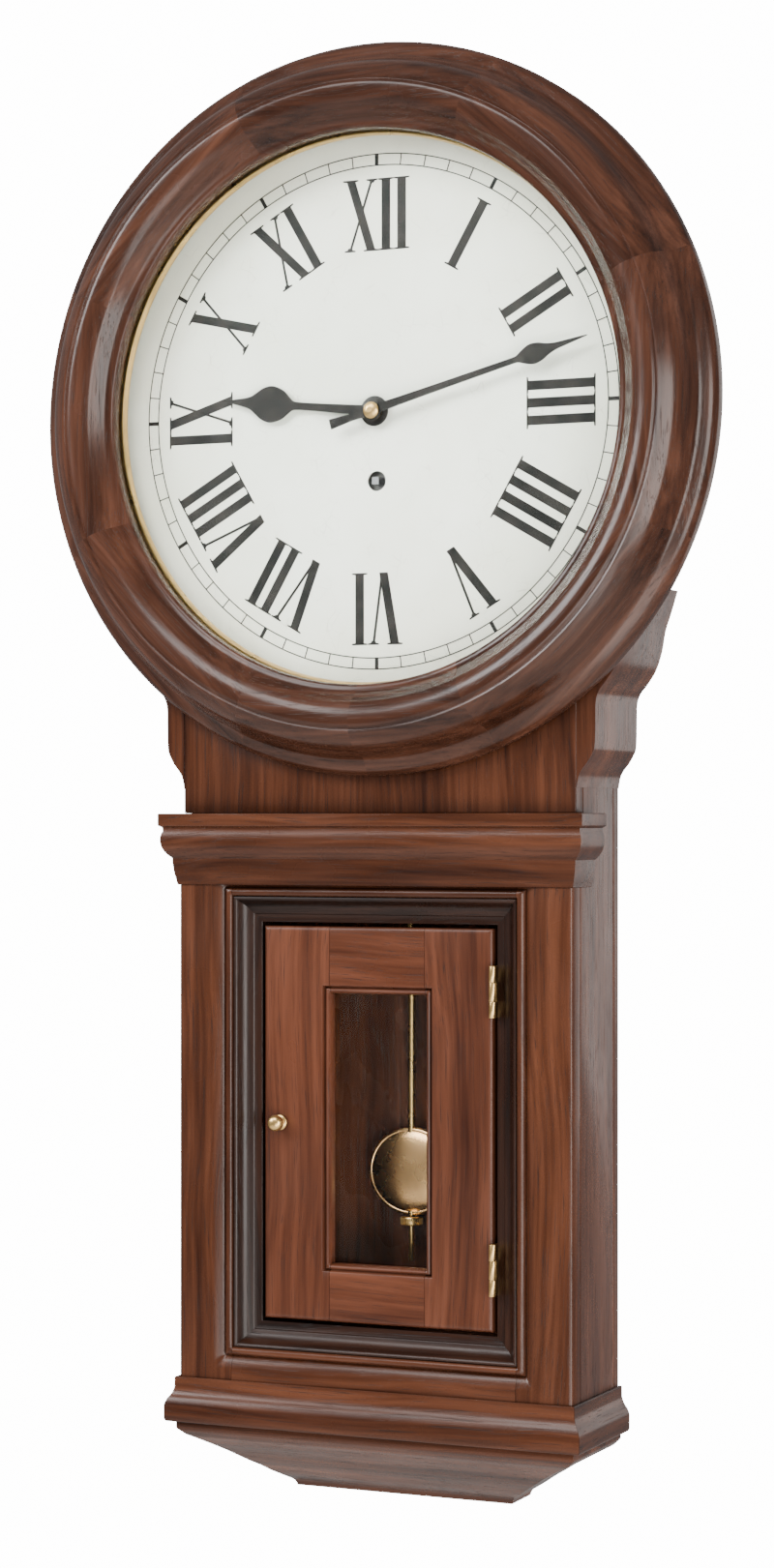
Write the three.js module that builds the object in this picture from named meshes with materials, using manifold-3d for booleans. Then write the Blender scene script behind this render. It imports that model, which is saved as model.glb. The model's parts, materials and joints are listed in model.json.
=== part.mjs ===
// Spring-driven pendulum wall clock: round head over a boxed trunk with a glazed door.
// Millimetres. The wall is y = 0, the front faces -Y, +Z is up, and the origin is behind the dial centre.
import * as THREE from "three";
import { mergeVertices } from "three/addons/utils/BufferGeometryUtils.js";
import Module from "manifold-3d";

const wasm = await Module();
wasm.setup();
const group = new THREE.Group();

// Driving dimensions ------------------------------------------------------------------------------
const BACK_T = 9; // back board thickness
const TRUNK_HALF = 117.5; // half width of the trunk
const TRUNK_FRONT = 72; // wall to the face of the trunk frame
const FRAME_T = 12; // thickness of the trunk frame
const SIDE_T = 10; // thickness of the trunk sides
const SHELF_TOP = -220; // top of the shelf moulding and of the trunk frame
const TRUNK_BOTTOM = -560; // underside of the trunk
const FOOT_H = 40; // height of the tapered foot
const STILE_W = 32.5; // width of a frame stile
const RAIL_TOP_H = 46; // height of the upper frame rail
const RAIL_BOTTOM_H = 43; // height of the lower frame rail
const COVE_W = 14.5; // width of the dark cove round the recess
const DRUM_R = 172; // outer radius of the drum
const DRUM_BORE_R = 146; // inner radius of the drum
const DRUM_FRONT = 66; // wall to the face of the drum
const BEZEL_R = 200; // outer radius of the bezel
const BEZEL_H = 36; // depth of the bezel
const SIGHT_R = 150; // radius of the glazed opening
const DIAL_R = 157; // radius of the dial plate
const DOOR_GAP = 2; // gap round the door
const DOOR_T = 12; // thickness of the door
const DOOR_STILE_W = 40; // width of a door stile
const DOOR_RAIL_TOP_H = 37; // height of the upper door rail
const DOOR_RAIL_BOTTOM_H = 32; // height of the lower door rail
const BOB_R = 24.5; // radius of the bob
const BOB_T = 13; // thickness of the bob
const BOB_Z = -420; // height of the bob's centre
const ROD_Y = -18; // plane of the pendulum
const MINUTE_LENGTH = 130; // minute hand, centre to tip
const HOUR_LENGTH = 92; // hour hand, centre to tip
const MINUTE_ANGLE = 75; // degrees clockwise from twelve
const HOUR_ANGLE = 276.25; // degrees clockwise from twelve
const PLATE_T = 2.5; // thickness of the movement plates
const BACK_PLATE_Y = -24.5; // rear face of the back plate
const FRONT_PLATE_Y = -52; // rear face of the front plate

// Clearances --------------------------------------------------------------------------------------
const TOUCH_GAP = 0.3; // between a piece and the curved neighbour it is cut to
const BEZEL_GAP = 0.5; // drum face to bezel
const RUN_GAP = 0.12; // radial, shaft to bore
const END_GAP = 0.4; // arbor shoulder to plate

// Materials ---------------------------------------------------------------------------------------
const COLORS = {
  wood: 0x6b4230,
  dark_wood: 0x2c140b,
  panel_wood: 0x6e4131,
  bezel_wood: 0x5f463c,
  brass: 0xb08d4a,
  steel: 0x9a9ca0,
  dial: 0xe6e2d2,
  glass: 0xdfe8ea,
  black: 0x14120f,
};

// Geometry helpers --------------------------------------------------------------------------------
const flipped = (index) => {
  const out = Uint32Array.from(index);
  for (let i = 0; i < out.length; i += 3) {
    [out[i + 1], out[i + 2]] = [out[i + 2], out[i + 1]];
  }
  return out;
};

const signedVolume = (position, index) => {
  const a = new THREE.Vector3();
  const b = new THREE.Vector3();
  const c = new THREE.Vector3();
  let sum = 0;
  for (let i = 0; i < index.length; i += 3) {
    a.fromArray(position, index[i] * 3);
    b.fromArray(position, index[i + 1] * 3);
    c.fromArray(position, index[i + 2] * 3);
    sum += a.dot(b.cross(c)) / 6;
  }
  return sum;
};

// A closed three.js geometry as a solid, whichever way its faces were wound.
const solid = (geometry) => {
  const bare = new THREE.BufferGeometry();
  const source = geometry.index ? geometry.toNonIndexed() : geometry;
  bare.setAttribute("position", source.getAttribute("position"));
  const merged = mergeVertices(bare, 1e-3);
  const position = merged.getAttribute("position").array;
  const index = merged.index.array;
  const triVerts = signedVolume(position, index) < 0 ? flipped(index) : Uint32Array.from(index);
  return new wasm.Manifold(new wasm.Mesh({ numProp: 3, vertProperties: position, triVerts }));
};

const join = (...solids) => solids.reduce((a, b) => a.add(b));
const cut = (a, ...tools) => tools.reduce((body, tool) => body.subtract(tool), a);

const box = (x0, x1, y0, y1, z0, z1) => {
  const g = new THREE.BoxGeometry(x1 - x0, y1 - y0, z1 - z0);
  g.translate((x0 + x1) / 2, (y0 + y1) / 2, (z0 + z1) / 2);
  return solid(g);
};

// A flat outline of [x, z] points, made solid from yBack forward to yFront.
const plate = (outline, yBack, yFront) => {
  const shape = new THREE.Shape(outline.map(([x, z]) => new THREE.Vector2(x, z)));
  const g = new THREE.ExtrudeGeometry(shape, { depth: yBack - yFront, bevelEnabled: false });
  g.rotateX(Math.PI / 2);
  g.translate(0, yBack, 0);
  return solid(g);
};

// A flat outline of [y, z] points, made solid from x0 to x1.
const sidePlate = (outline, x0, x1) => {
  const shape = new THREE.Shape(outline.map(([y, z]) => new THREE.Vector2(y, z)));
  const g = new THREE.ExtrudeGeometry(shape, { depth: x1 - x0, bevelEnabled: false });
  g.applyMatrix4(new THREE.Matrix4().set(0, 0, 1, x0, 1, 0, 0, 0, 0, 1, 0, 0, 0, 0, 0, 1));
  return solid(g);
};

// A closed loop of [r, y] points turned about an axis along Y through (x, z).
const turned = (loop, segments, x = 0, z = 0) => {
  const points = [...loop, loop[0]].map(([r, y]) => new THREE.Vector2(Math.max(r, 0), y));
  const g = new THREE.LatheGeometry(points, segments);
  g.translate(x, 0, z);
  return solid(dropFlat(g));
};

// The geometry without the triangles that collapse on the axis.
const dropFlat = (geometry) => {
  const p = geometry.toNonIndexed().getAttribute("position").array;
  const kept = [];
  for (let i = 0; i < p.length; i += 9) {
    const corners = [0, 3, 6].map((k) => [p[i + k], p[i + k + 1], p[i + k + 2]]);
    const keys = new Set(corners.map((c) => c.map((v) => v.toFixed(4)).join()));
    if (keys.size === 3) kept.push(...corners.flat());
  }
  const g = new THREE.BufferGeometry();
  g.setAttribute("position", new THREE.Float32BufferAttribute(kept, 3));
  return g;
};

const rodY = (r, yBack, yFront, segments, x = 0, z = 0) => {
  const g = new THREE.CylinderGeometry(r, r, yBack - yFront, segments);
  g.translate(x, (yBack + yFront) / 2, z);
  return solid(g);
};

const rodZ = (r, z0, z1, segments, x = 0, y = 0) => {
  const g = new THREE.CylinderGeometry(r, r, z1 - z0, segments);
  g.rotateX(Math.PI / 2);
  g.translate(x, y, (z0 + z1) / 2);
  return solid(g);
};

// Two matching rings of points, skinned and capped: a mitred length of moulding.
const skin = (rings) => {
  const n = rings[0].length;
  const position = rings.flat(2);
  const index = [];
  for (let k = 0; k + 1 < rings.length; k += 1) {
    for (let i = 0; i < n; i += 1) {
      const a = k * n + i;
      const b = k * n + ((i + 1) % n);
      index.push(a, b, a + n, b, b + n, a + n);
    }
  }
  const flat = capTriangles(rings[0]);
  const last = (rings.length - 1) * n;
  flat.forEach(([a, b, c]) => index.push(a, c, b, last + a, last + b, last + c));
  const g = new THREE.BufferGeometry();
  g.setAttribute("position", new THREE.Float32BufferAttribute(position, 3));
  g.setIndex(index);
  return solid(g);
};

// Triangles across a ring, worked out in the plane where the ring is widest.
const capTriangles = (ring) => {
  const area = (u, v) =>
    ring.reduce((sum, p, i) => {
      const q = ring[(i + 1) % ring.length];
      return sum + p[u] * q[v] - q[u] * p[v];
    }, 0);
  const planes = [[0, 1], [1, 2], [0, 2]];
  const [u, v] = planes.sort((a, b) => Math.abs(area(...b)) - Math.abs(area(...a)))[0];
  const points = ring.map((p) => new THREE.Vector2(p[u], p[v]));
  const turn = area(u, v) < 0 ? [...points].reverse() : points;
  const faces = THREE.ShapeUtils.triangulateShape(turn, []);
  const last = ring.length - 1;
  if (area(u, v) >= 0) return faces;
  return faces.map((f) => f.map((i) => last - i)).map(([a, b, c]) => [a, c, b]);
};

const geometryOf = (body) => {
  const mesh = body.getMesh();
  const g = new THREE.BufferGeometry();
  const n = mesh.numProp;
  const position = new Float32Array(mesh.numVert * 3);
  for (let i = 0; i < mesh.numVert; i += 1) {
    position.set(mesh.vertProperties.subarray(i * n, i * n + 3), i * 3);
  }
  g.setAttribute("position", new THREE.BufferAttribute(position, 3));
  g.setIndex(new THREE.BufferAttribute(Uint32Array.from(mesh.triVerts), 1));
  const flat = g.toNonIndexed();
  flat.computeVertexNormals();
  return flat;
};

const add = (name, body, color) => {
  const metal = color === "brass" || color === "steel";
  const material = new THREE.MeshStandardMaterial({
    color: COLORS[color],
    metalness: metal ? 0.9 : 0,
    roughness: 0.45,
    transparent: color === "glass",
    opacity: color === "glass" ? 0.3 : 1,
  });
  const mesh = new THREE.Mesh(geometryOf(body), material);
  mesh.name = name;
  group.add(mesh);
};

const arc = (r, fromDeg, toDeg, steps, x = 0, z = 0) =>
  Array.from({ length: steps + 1 }, (_, i) => {
    const t = THREE.MathUtils.degToRad(fromDeg + ((toDeg - fromDeg) * i) / steps);
    return [x + r * Math.cos(t), z + r * Math.sin(t)];
  });

// Back board and hanger ---------------------------------------------------------------------------
const HANGER_Z = 150;
const HANGER_HALF = 25;
const HANGER_H = 30;
const HANGER_T = 2;
const HEAD_SEGMENTS = 48;

const addBackBoard = () => {
  const joinDeg = THREE.MathUtils.radToDeg(Math.acos(TRUNK_HALF / DRUM_R));
  const outline = [
    [-TRUNK_HALF, TRUNK_BOTTOM],
    [TRUNK_HALF, TRUNK_BOTTOM],
    ...arc(DRUM_R, -joinDeg, 180 + joinDeg, 52),
  ];
  const low = HANGER_Z - HANGER_H / 2;
  const high = HANGER_Z + HANGER_H / 2;
  const seat = box(-HANGER_HALF, HANGER_HALF, -HANGER_T, 1, low, high);
  const pocket = box(-12, 12, -BACK_T - 1, 0, low + 4, high - 4);
  add("back_board", cut(plate(outline, 0, -BACK_T), seat, pocket), "wood");
  const steel = box(-HANGER_HALF, HANGER_HALF, -HANGER_T, 0, low, high);
  const eye = rodY(5, 1, -HANGER_T - 1, 16, 0, HANGER_Z - 4);
  const slot = box(-2.5, 2.5, -HANGER_T - 1, 1, HANGER_Z - 4, HANGER_Z + 8);
  add("hanger_plate", cut(steel, eye, slot), "steel");
};

// Drum, ears and neck -----------------------------------------------------------------------------
const DIAL_SEAT_R = 158;
const DIAL_SEAT_Y = -62;
const SLOT_HALF = 60;
const SLOT_FRONT = -45;
const NECK_T = 10;
const EAR_CONTOUR = [
  [34.5, -98],
  [27.5, -120],
  [22.5, -141],
  [13, -155],
  [11, -166],
  [10.5, -184],
  [7, -192],
  [2, -199],
  [0, -206],
];

const addDrum = () => {
  const ring = turned(
    [
      [DRUM_BORE_R, -BACK_T],
      [DRUM_R, -BACK_T],
      [DRUM_R, -DRUM_FRONT],
      [DIAL_SEAT_R, -DRUM_FRONT],
      [DIAL_SEAT_R, DIAL_SEAT_Y],
      [DRUM_BORE_R, DIAL_SEAT_Y],
    ],
    HEAD_SEGMENTS,
  );
  const way = box(-SLOT_HALF, SLOT_HALF, SLOT_FRONT, 1, -DRUM_R - 5, -100);
  add("head_drum", cut(ring, way), "wood");
};

const addEars = () => {
  const r = DRUM_R + TOUCH_GAP;
  const topZ = EAR_CONTOUR[0][1];
  const topDeg = THREE.MathUtils.radToDeg(Math.asin(topZ / r));
  const lowDeg = -THREE.MathUtils.radToDeg(Math.acos(TRUNK_HALF / r));
  const inner = arc(r, lowDeg, topDeg, 5);
  const outer = EAR_CONTOUR.map(([w, z]) => [TRUNK_HALF + w, z]);
  const right = [...inner, ...outer];
  const left = right.map(([x, z]) => [-x, z]).reverse();
  add("ear_right", plate(right, 0, -DRUM_FRONT), "wood");
  add("ear_left", plate(left, 0, -DRUM_FRONT), "wood");
};

const addNeck = () => {
  const board = box(-TRUNK_HALF, TRUNK_HALF, -DRUM_FRONT, NECK_T - DRUM_FRONT, SHELF_TOP, -127);
  const disc = rodY(DRUM_R + TOUCH_GAP, 0, -100, HEAD_SEGMENTS);
  add("neck_board", cut(board, disc), "wood");
};

// Trunk -------------------------------------------------------------------------------------------
const FRAME_BACK = FRAME_T - TRUNK_FRONT;
const OPEN_HALF = TRUNK_HALF - STILE_W;
const OPEN_TOP = SHELF_TOP - RAIL_TOP_H;
const OPEN_BOTTOM = TRUNK_BOTTOM + RAIL_BOTTOM_H;
const NECK_BACK = NECK_T - DRUM_FRONT;

const addTrunkSides = () => {
  const outline = [
    [-BACK_T, TRUNK_BOTTOM],
    [-BACK_T, -140],
    [NECK_BACK, -140],
    [NECK_BACK, SHELF_TOP],
    [FRAME_BACK, SHELF_TOP],
    [FRAME_BACK, TRUNK_BOTTOM],
  ];
  add("trunk_side_right", sidePlate(outline, TRUNK_HALF - SIDE_T, TRUNK_HALF), "wood");
  add("trunk_side_left", sidePlate(outline, -TRUNK_HALF, SIDE_T - TRUNK_HALF), "wood");
  const inner = TRUNK_HALF - SIDE_T;
  const floor = box(-inner, inner, FRAME_BACK, -BACK_T, TRUNK_BOTTOM, TRUNK_BOTTOM + 10);
  add("bottom_board", floor, "wood");
};

const addFrame = () => {
  const slab = (x0, x1, z0, z1) => box(x0, x1, -TRUNK_FRONT, FRAME_BACK, z0, z1);
  add("frame_stile_left", slab(-TRUNK_HALF, -OPEN_HALF, TRUNK_BOTTOM, SHELF_TOP), "wood");
  add("frame_stile_right", slab(OPEN_HALF, TRUNK_HALF, TRUNK_BOTTOM, SHELF_TOP), "wood");
  add("frame_rail_top", slab(-OPEN_HALF, OPEN_HALF, OPEN_TOP, SHELF_TOP), "wood");
  add("frame_rail_bottom", slab(-OPEN_HALF, OPEN_HALF, TRUNK_BOTTOM, OPEN_BOTTOM), "wood");
};

// The cove's section: [inset from the opening's edge, y].
const COVE_SECTION = [
  [0, 2 - TRUNK_FRONT],
  [2, 2 - TRUNK_FRONT],
  [4, 6.5 - TRUNK_FRONT],
  [8.5, 9 - TRUNK_FRONT],
  [COVE_W, 10 - TRUNK_FRONT],
  [COVE_W, 22 - TRUNK_FRONT],
  [0, 22 - TRUNK_FRONT],
];

const addCoves = () => {
  const corner = (sx, top) => COVE_SECTION.map(([u, y]) => [
    sx * (OPEN_HALF - u), y, top ? OPEN_TOP - u : OPEN_BOTTOM + u]);
  const tl = corner(-1, true);
  const tr = corner(1, true);
  const bl = corner(-1, false);
  const br = corner(1, false);
  add("recess_cove_top", skin([tl, tr]), "dark_wood");
  add("recess_cove_bottom", skin([bl, br]), "dark_wood");
  add("recess_cove_left", skin([bl, tl]), "dark_wood");
  add("recess_cove_right", skin([br, tr]), "dark_wood");
};

// Mouldings and foot ------------------------------------------------------------------------------
const SHELF_RETURN = 28; // depth of the shelf's short returns
// Each section: [overhang past the trunk, z].
const SHELF_SECTION = [
  [9, SHELF_TOP],
  [9, SHELF_TOP - 7],
  [7, SHELF_TOP - 10],
  [8, SHELF_TOP - 15],
  [6.5, SHELF_TOP - 21],
  [3, SHELF_TOP - 25],
  [2.5, SHELF_TOP - 34],
  [0.8, SHELF_TOP - 40],
];
const BASE_SECTION = [
  [0, TRUNK_BOTTOM + 25],
  [2, TRUNK_BOTTOM + 25],
  [2.6, TRUNK_BOTTOM + 18],
  [5.5, TRUNK_BOTTOM + 13],
  [6.5, TRUNK_BOTTOM + 10],
  [6.5, TRUNK_BOTTOM + 2],
  [5, TRUNK_BOTTOM],
  [0, TRUNK_BOTTOM],
];

const tray = (levels, yBack) =>
  skin(levels.map(([half, depth, z]) => [
    [-half, yBack, z],
    [half, yBack, z],
    [half, -depth, z],
    [-half, -depth, z],
  ]));

const addShelf = () => {
  const levels = SHELF_SECTION.map(([o, z]) => [TRUNK_HALF + o, TRUNK_FRONT + o, z]);
  const whole = tray(levels, SHELF_RETURN - TRUNK_FRONT);
  const trunk = box(-TRUNK_HALF, TRUNK_HALF, -TRUNK_FRONT, 0, TRUNK_BOTTOM, 0);
  add("shelf_moulding", cut(whole, trunk), "wood");
};

const addBase = () => {
  const front = (sx) => BASE_SECTION.map(([o, z]) => [sx * (TRUNK_HALF + o), -TRUNK_FRONT - o, z]);
  const wall = (sx) => BASE_SECTION.map(([o, z]) => [sx * (TRUNK_HALF + o), 0, z]);
  add("base_moulding_front", skin([front(-1), front(1)]), "wood");
  add("base_moulding_left", skin([front(-1), wall(-1)]), "wood");
  add("base_moulding_right", skin([front(1), wall(1)]), "wood");
};

const addFoot = () => {
  const levels = [
    [119, 73.5, 0],
    [119, 73.5, 0.1],
    [116, 70.5, 0.18],
    [107, 64, 0.3],
    [92, 52, 0.52],
    [77, 39, 0.76],
    [68, 30, 0.9],
    [66, 28, 1],
  ].map(([half, depth, t]) => [half, depth, TRUNK_BOTTOM - t * FOOT_H]);
  add("foot", tray(levels, 0), "wood");
};

// Trunk door --------------------------------------------------------------------------------------
const DOOR_HALF = OPEN_HALF - COVE_W - DOOR_GAP;
const DOOR_TOP = OPEN_TOP - COVE_W - DOOR_GAP;
const DOOR_BOTTOM = OPEN_BOTTOM + COVE_W + DOOR_GAP;
const DOOR_FRONT = 8 - TRUNK_FRONT;
const DOOR_BACK = DOOR_FRONT + DOOR_T;
const WINDOW_HALF = DOOR_HALF - DOOR_STILE_W;
const WINDOW_TOP = DOOR_TOP - DOOR_RAIL_TOP_H;
const WINDOW_BOTTOM = DOOR_BOTTOM + DOOR_RAIL_BOTTOM_H;
const REBATE = 3;
const GLASS_T = 2;
const GLASS_FRONT = DOOR_FRONT + 8;
const TURN_X = 10 - DOOR_HALF;
const TURN_Z = (DOOR_TOP + DOOR_BOTTOM) / 2;

const addDoor = () => {
  const rebate = box(
    -WINDOW_HALF - REBATE, WINDOW_HALF + REBATE, GLASS_FRONT, 0, WINDOW_BOTTOM - REBATE,
    WINDOW_TOP + REBATE);
  const slab = (x0, x1, z0, z1) => cut(box(x0, x1, DOOR_FRONT, DOOR_BACK, z0, z1), rebate);
  const turnBore = rodY(2.1, 0, -TRUNK_FRONT, 16, TURN_X, TURN_Z);
  const left = cut(slab(-DOOR_HALF, -WINDOW_HALF, DOOR_BOTTOM, DOOR_TOP), turnBore);
  add("door_stile_left", left, "panel_wood");
  add("door_stile_right", slab(WINDOW_HALF, DOOR_HALF, DOOR_BOTTOM, DOOR_TOP), "panel_wood");
  add("door_rail_top", slab(-WINDOW_HALF, WINDOW_HALF, WINDOW_TOP, DOOR_TOP), "panel_wood");
  add("door_rail_bottom", slab(-WINDOW_HALF, WINDOW_HALF, DOOR_BOTTOM, WINDOW_BOTTOM), "panel_wood");
  const pane = box(
    -WINDOW_HALF - REBATE, WINDOW_HALF + REBATE, GLASS_FRONT, GLASS_FRONT + GLASS_T,
    WINDOW_BOTTOM - REBATE, WINDOW_TOP + REBATE);
  add("door_glass", pane, "glass");
};

const addDoorTurn = () => {
  const knob = turned(
    [
      [0, DOOR_FRONT - 10],
      [3.6, DOOR_FRONT - 9],
      [4.6, DOOR_FRONT - 6.5],
      [3.6, DOOR_FRONT - 4],
      [2, DOOR_FRONT - 2.5],
      [4.4, DOOR_FRONT - 1],
      [4.4, DOOR_FRONT - TOUCH_GAP],
      [2, DOOR_FRONT - TOUCH_GAP],
      [2, DOOR_BACK + 5],
      [0, DOOR_BACK + 5],
    ],
    16, TURN_X, TURN_Z);
  const cam = box(TURN_X - 3.5, TURN_X + 3.5, DOOR_BACK + 2.4, DOOR_BACK + 4.4, TURN_Z - 17, TURN_Z + 4);
  add("door_turn", join(knob, cam), "brass");
};

// Butt hinges -------------------------------------------------------------------------------------
// A knuckle along Z, bored for its pin.
const knuckle = (r, bore, z0, z1, x, y) =>
  cut(rodZ(r, z0, z1, 16, x, y), rodZ(bore, z0 - 1, z1 + 1, 12, x, y));

const DOOR_PIN_X = DOOR_HALF + DOOR_GAP / 2;
const DOOR_PIN_Y = DOOR_FRONT - 2.4;
const LEAF_T = 0.8;

const addDoorHinge = (place, z) => {
  const half = 14;
  const mid = 5;
  const jamb = DOOR_HALF + DOOR_GAP;
  const leafFront = DOOR_PIN_Y + 1.4;
  const frameLeaf = box(jamb - LEAF_T, jamb, leafFront, DOOR_BACK - 1, z - half, z + half);
  const clear = box(DOOR_HALF, jamb + 1, DOOR_PIN_Y - 3, DOOR_FRONT + 0.6, z - mid - 0.2, z + mid + 0.2);
  const upper = knuckle(2, 1.05, z + mid + 0.2, z + half, DOOR_PIN_X, DOOR_PIN_Y);
  const lower = knuckle(2, 1.05, z - half, z - mid - 0.2, DOOR_PIN_X, DOOR_PIN_Y);
  add("door_hinge_case_" + place, join(cut(frameLeaf, clear), upper, lower), "brass");
  const leafX = DOOR_HALF + LEAF_T;
  const doorLeaf = box(DOOR_HALF, leafX, DOOR_FRONT - 0.3, DOOR_BACK - 1, z - half, z + half);
  const tongue = box(DOOR_HALF, leafX, leafFront - 1, DOOR_FRONT, z - mid, z + mid);
  const barrel = rodZ(2, z - mid, z + mid, 16, DOOR_PIN_X, DOOR_PIN_Y);
  const pin = rodZ(0.9, z - half, z + half, 12, DOOR_PIN_X, DOOR_PIN_Y);
  add("door_hinge_leaf_" + place, join(doorLeaf, tongue, barrel, pin), "brass");
};

const BEZEL_BACK = -DRUM_FRONT - BEZEL_GAP;
const BEZEL_PIN_X = DRUM_R + 5;
const BEZEL_PIN_Y = BEZEL_BACK + 4;

const addBezelHinge = () => {
  const half = 18;
  const mid = 6;
  const r = 3.4;
  const flange = box(DRUM_R - 2, DRUM_R + 2.5, BEZEL_PIN_Y, -30, -half, half);
  const drum = rodY(DRUM_R + 0.05, 0, -100, HEAD_SEGMENTS);
  const upper = knuckle(r, 1.65, mid + 0.2, half, BEZEL_PIN_X, BEZEL_PIN_Y);
  const lower = knuckle(r, 1.65, -half, -mid - 0.2, BEZEL_PIN_X, BEZEL_PIN_Y);
  const relief = rodZ(r + 0.3, -mid - 0.2, mid + 0.2, 24, BEZEL_PIN_X, BEZEL_PIN_Y);
  add("bezel_hinge_case", cut(join(flange, upper, lower), drum, relief), "brass");
  const barrel = rodZ(r, -mid, mid, 16, BEZEL_PIN_X, BEZEL_PIN_Y);
  const pin = rodZ(1.5, -half, half, 12, BEZEL_PIN_X, BEZEL_PIN_Y);
  const wing = box(BEZEL_PIN_X, BEZEL_R - 6, BEZEL_BACK, BEZEL_BACK + 1.2, -mid, mid);
  const leaf = box(BEZEL_PIN_X + r + 0.5, BEZEL_R - 6, BEZEL_BACK, BEZEL_BACK + 1.2, -half, half);
  add("bezel_hinge_leaf", join(barrel, pin, wing, leaf), "brass");
};

// Bezel, glass and dial ---------------------------------------------------------------------------
const WINDING_Z = -38;

const addBezel = () => {
  const y = (depth) => BEZEL_BACK - depth;
  const glassR = SIGHT_R + 2.8;
  const w = BEZEL_R - SIGHT_R;
  const ring = [
    [glassR, y(0)],
    [BEZEL_R, y(0)],
    [BEZEL_R, y(7)],
    [BEZEL_R - 0.06 * w, y(11)],
    [BEZEL_R - 0.18 * w, y(14)],
    [BEZEL_R - 0.24 * w, y(20)],
    [BEZEL_R - 0.33 * w, y(29)],
    [BEZEL_R - 0.48 * w, y(35)],
    [BEZEL_R - 0.62 * w, y(BEZEL_H)],
    [BEZEL_R - 0.78 * w, y(32)],
    [BEZEL_R - 0.9 * w, y(25)],
    [SIGHT_R, y(22)],
    [SIGHT_R, y(15)],
    [glassR, y(15)],
  ];
  add("bezel_ring", turned(ring, HEAD_SEGMENTS), "bezel_wood");
  const glassBack = y(12.5);
  const gap = 0.3;
  const sight = [
    [SIGHT_R + 2.5, glassBack],
    [SIGHT_R - 2, glassBack],
    [SIGHT_R - 3, y(9)],
    [SIGHT_R - 1, y(6)],
    [SIGHT_R + 2.5, y(6)],
  ];
  add("sight_ring", turned(sight, HEAD_SEGMENTS), "brass");
  add("dial_glass", rodY(glassR - gap, glassBack, y(15), HEAD_SEGMENTS), "glass");
};

const addDial = () => {
  const disc = rodY(DIAL_R, DIAL_SEAT_Y, DIAL_SEAT_Y - 1.5, HEAD_SEGMENTS);
  const centre = rodY(6, 0, -100, 24);
  const winding = rodY(5.5, 0, -100, 24, 0, WINDING_Z);
  add("dial_plate", cut(disc, centre, winding), "dial");
};

// Hands -------------------------------------------------------------------------------------------
const turnedHand = (outline, clockwiseDeg, yBack, thickness, bore, eyeR) => {
  const half = outline.map(([w, l]) => [w, l]);
  const full = [...half, ...half.filter(([w]) => w > 0).reverse().map(([w, l]) => [-w, l])];
  const a = THREE.MathUtils.degToRad(clockwiseDeg);
  const points = full.map(([x, z]) => [
    x * Math.cos(a) + z * Math.sin(a), z * Math.cos(a) - x * Math.sin(a)]);
  const blade = plate(points, yBack, yBack - thickness);
  const eye = rodY(eyeR, yBack, yBack - thickness, 24);
  return cut(join(blade, eye), rodY(bore, 0, -100, 24));
};

const addHands = () => {
  const m = MINUTE_LENGTH;
  const h = HOUR_LENGTH;
  const minute = [[3, -26], [2, -12], [2.6, 0], [1.7, 0.66 * m], [3.2, 0.7 * m], [5.6, 0.745 * m],
    [5.2, 0.78 * m], [2.4, 0.83 * m], [1.1, 0.9 * m], [0, m]];
  const hour = [[3, 0], [2.1, 0.5 * h], [2.4, 0.55 * h], [8.2, 0.62 * h], [10.2, 0.69 * h],
    [8.6, 0.75 * h], [3.4, 0.82 * h], [1.6, 0.9 * h], [0, h]];
  add("minute_hand", turnedHand(minute, MINUTE_ANGLE, -69.5, 1.2, 3.05, 6), "black");
  add("hour_hand", turnedHand(hour, HOUR_ANGLE, -65.8, 1.2, 4.6, 8.5), "black");
  const nut = turned([[1.6, -70.8], [4.6, -70.8], [4.6, -72], [3, -73.4], [1.6, -73.4]], 20);
  add("hand_nut", nut, "brass");
};

// Movement ----------------------------------------------------------------------------------------
const GREAT = { teeth: 60, module: 38 / 36 }; // great wheel, with a centre pinion of 12
const CENTRE = { teeth: 60, module: 0.8 }; // centre wheel, with a third pinion of 6
const THIRD = { teeth: 52, module: 0.7 }; // third wheel, with an escape pinion of 6
const MOTION_1 = { teeth: 36, module: 0.75 }; // minute wheel, with a cannon pinion of 12
const MOTION_2 = { teeth: 40, module: 0.72 }; // hour wheel, with a minute pinion of 10
const ESCAPE_R = 16;
const ESCAPE_TEETH = 30;
const THIRD_AT = [-14, Math.sqrt(26.4 ** 2 - 14 ** 2)];
const ESCAPE_AT = [0, THIRD_AT[1] + Math.sqrt(20.3 ** 2 - 14 ** 2)];
const ANCHOR_AT = [0, ESCAPE_AT[1] + ESCAPE_R * Math.SQRT2];
const MINUTE_WHEEL_AT = [18, 0];
const WINDING_AT = [0, WINDING_Z];
const PILLARS = [[-30, 62], [30, 62], [-34, -68], [34, -68]];
const FRONT_PLATE_FRONT = FRONT_PLATE_Y - PLATE_T;
const BACK_PLATE_FRONT = BACK_PLATE_Y - PLATE_T;

// A toothed outline; widths are shares of the pitch, half either side of the tooth's centre line.
const toothed = (at, teeth, rTip, rRoot, rootShare, tipShare, phase) => {
  const points = [];
  const pitch = (2 * Math.PI) / teeth;
  for (let i = 0; i < teeth; i += 1) {
    const c = phase + i * pitch;
    [[rRoot, -rootShare], [rTip, -tipShare], [rTip, tipShare], [rRoot, rootShare]].forEach(([r, s]) => {
      points.push([at[0] + r * Math.cos(c + s * pitch), at[1] + r * Math.sin(c + s * pitch)]);
    });
  }
  return points;
};

const wheel = (at, { teeth, module }, phase, yBack, yFront) => {
  const r = (teeth * module) / 2;
  return plate(toothed(at, teeth, r + 0.8 * module, r - 1.2 * module, 0.27, 0.1, phase), yBack, yFront);
};

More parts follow.
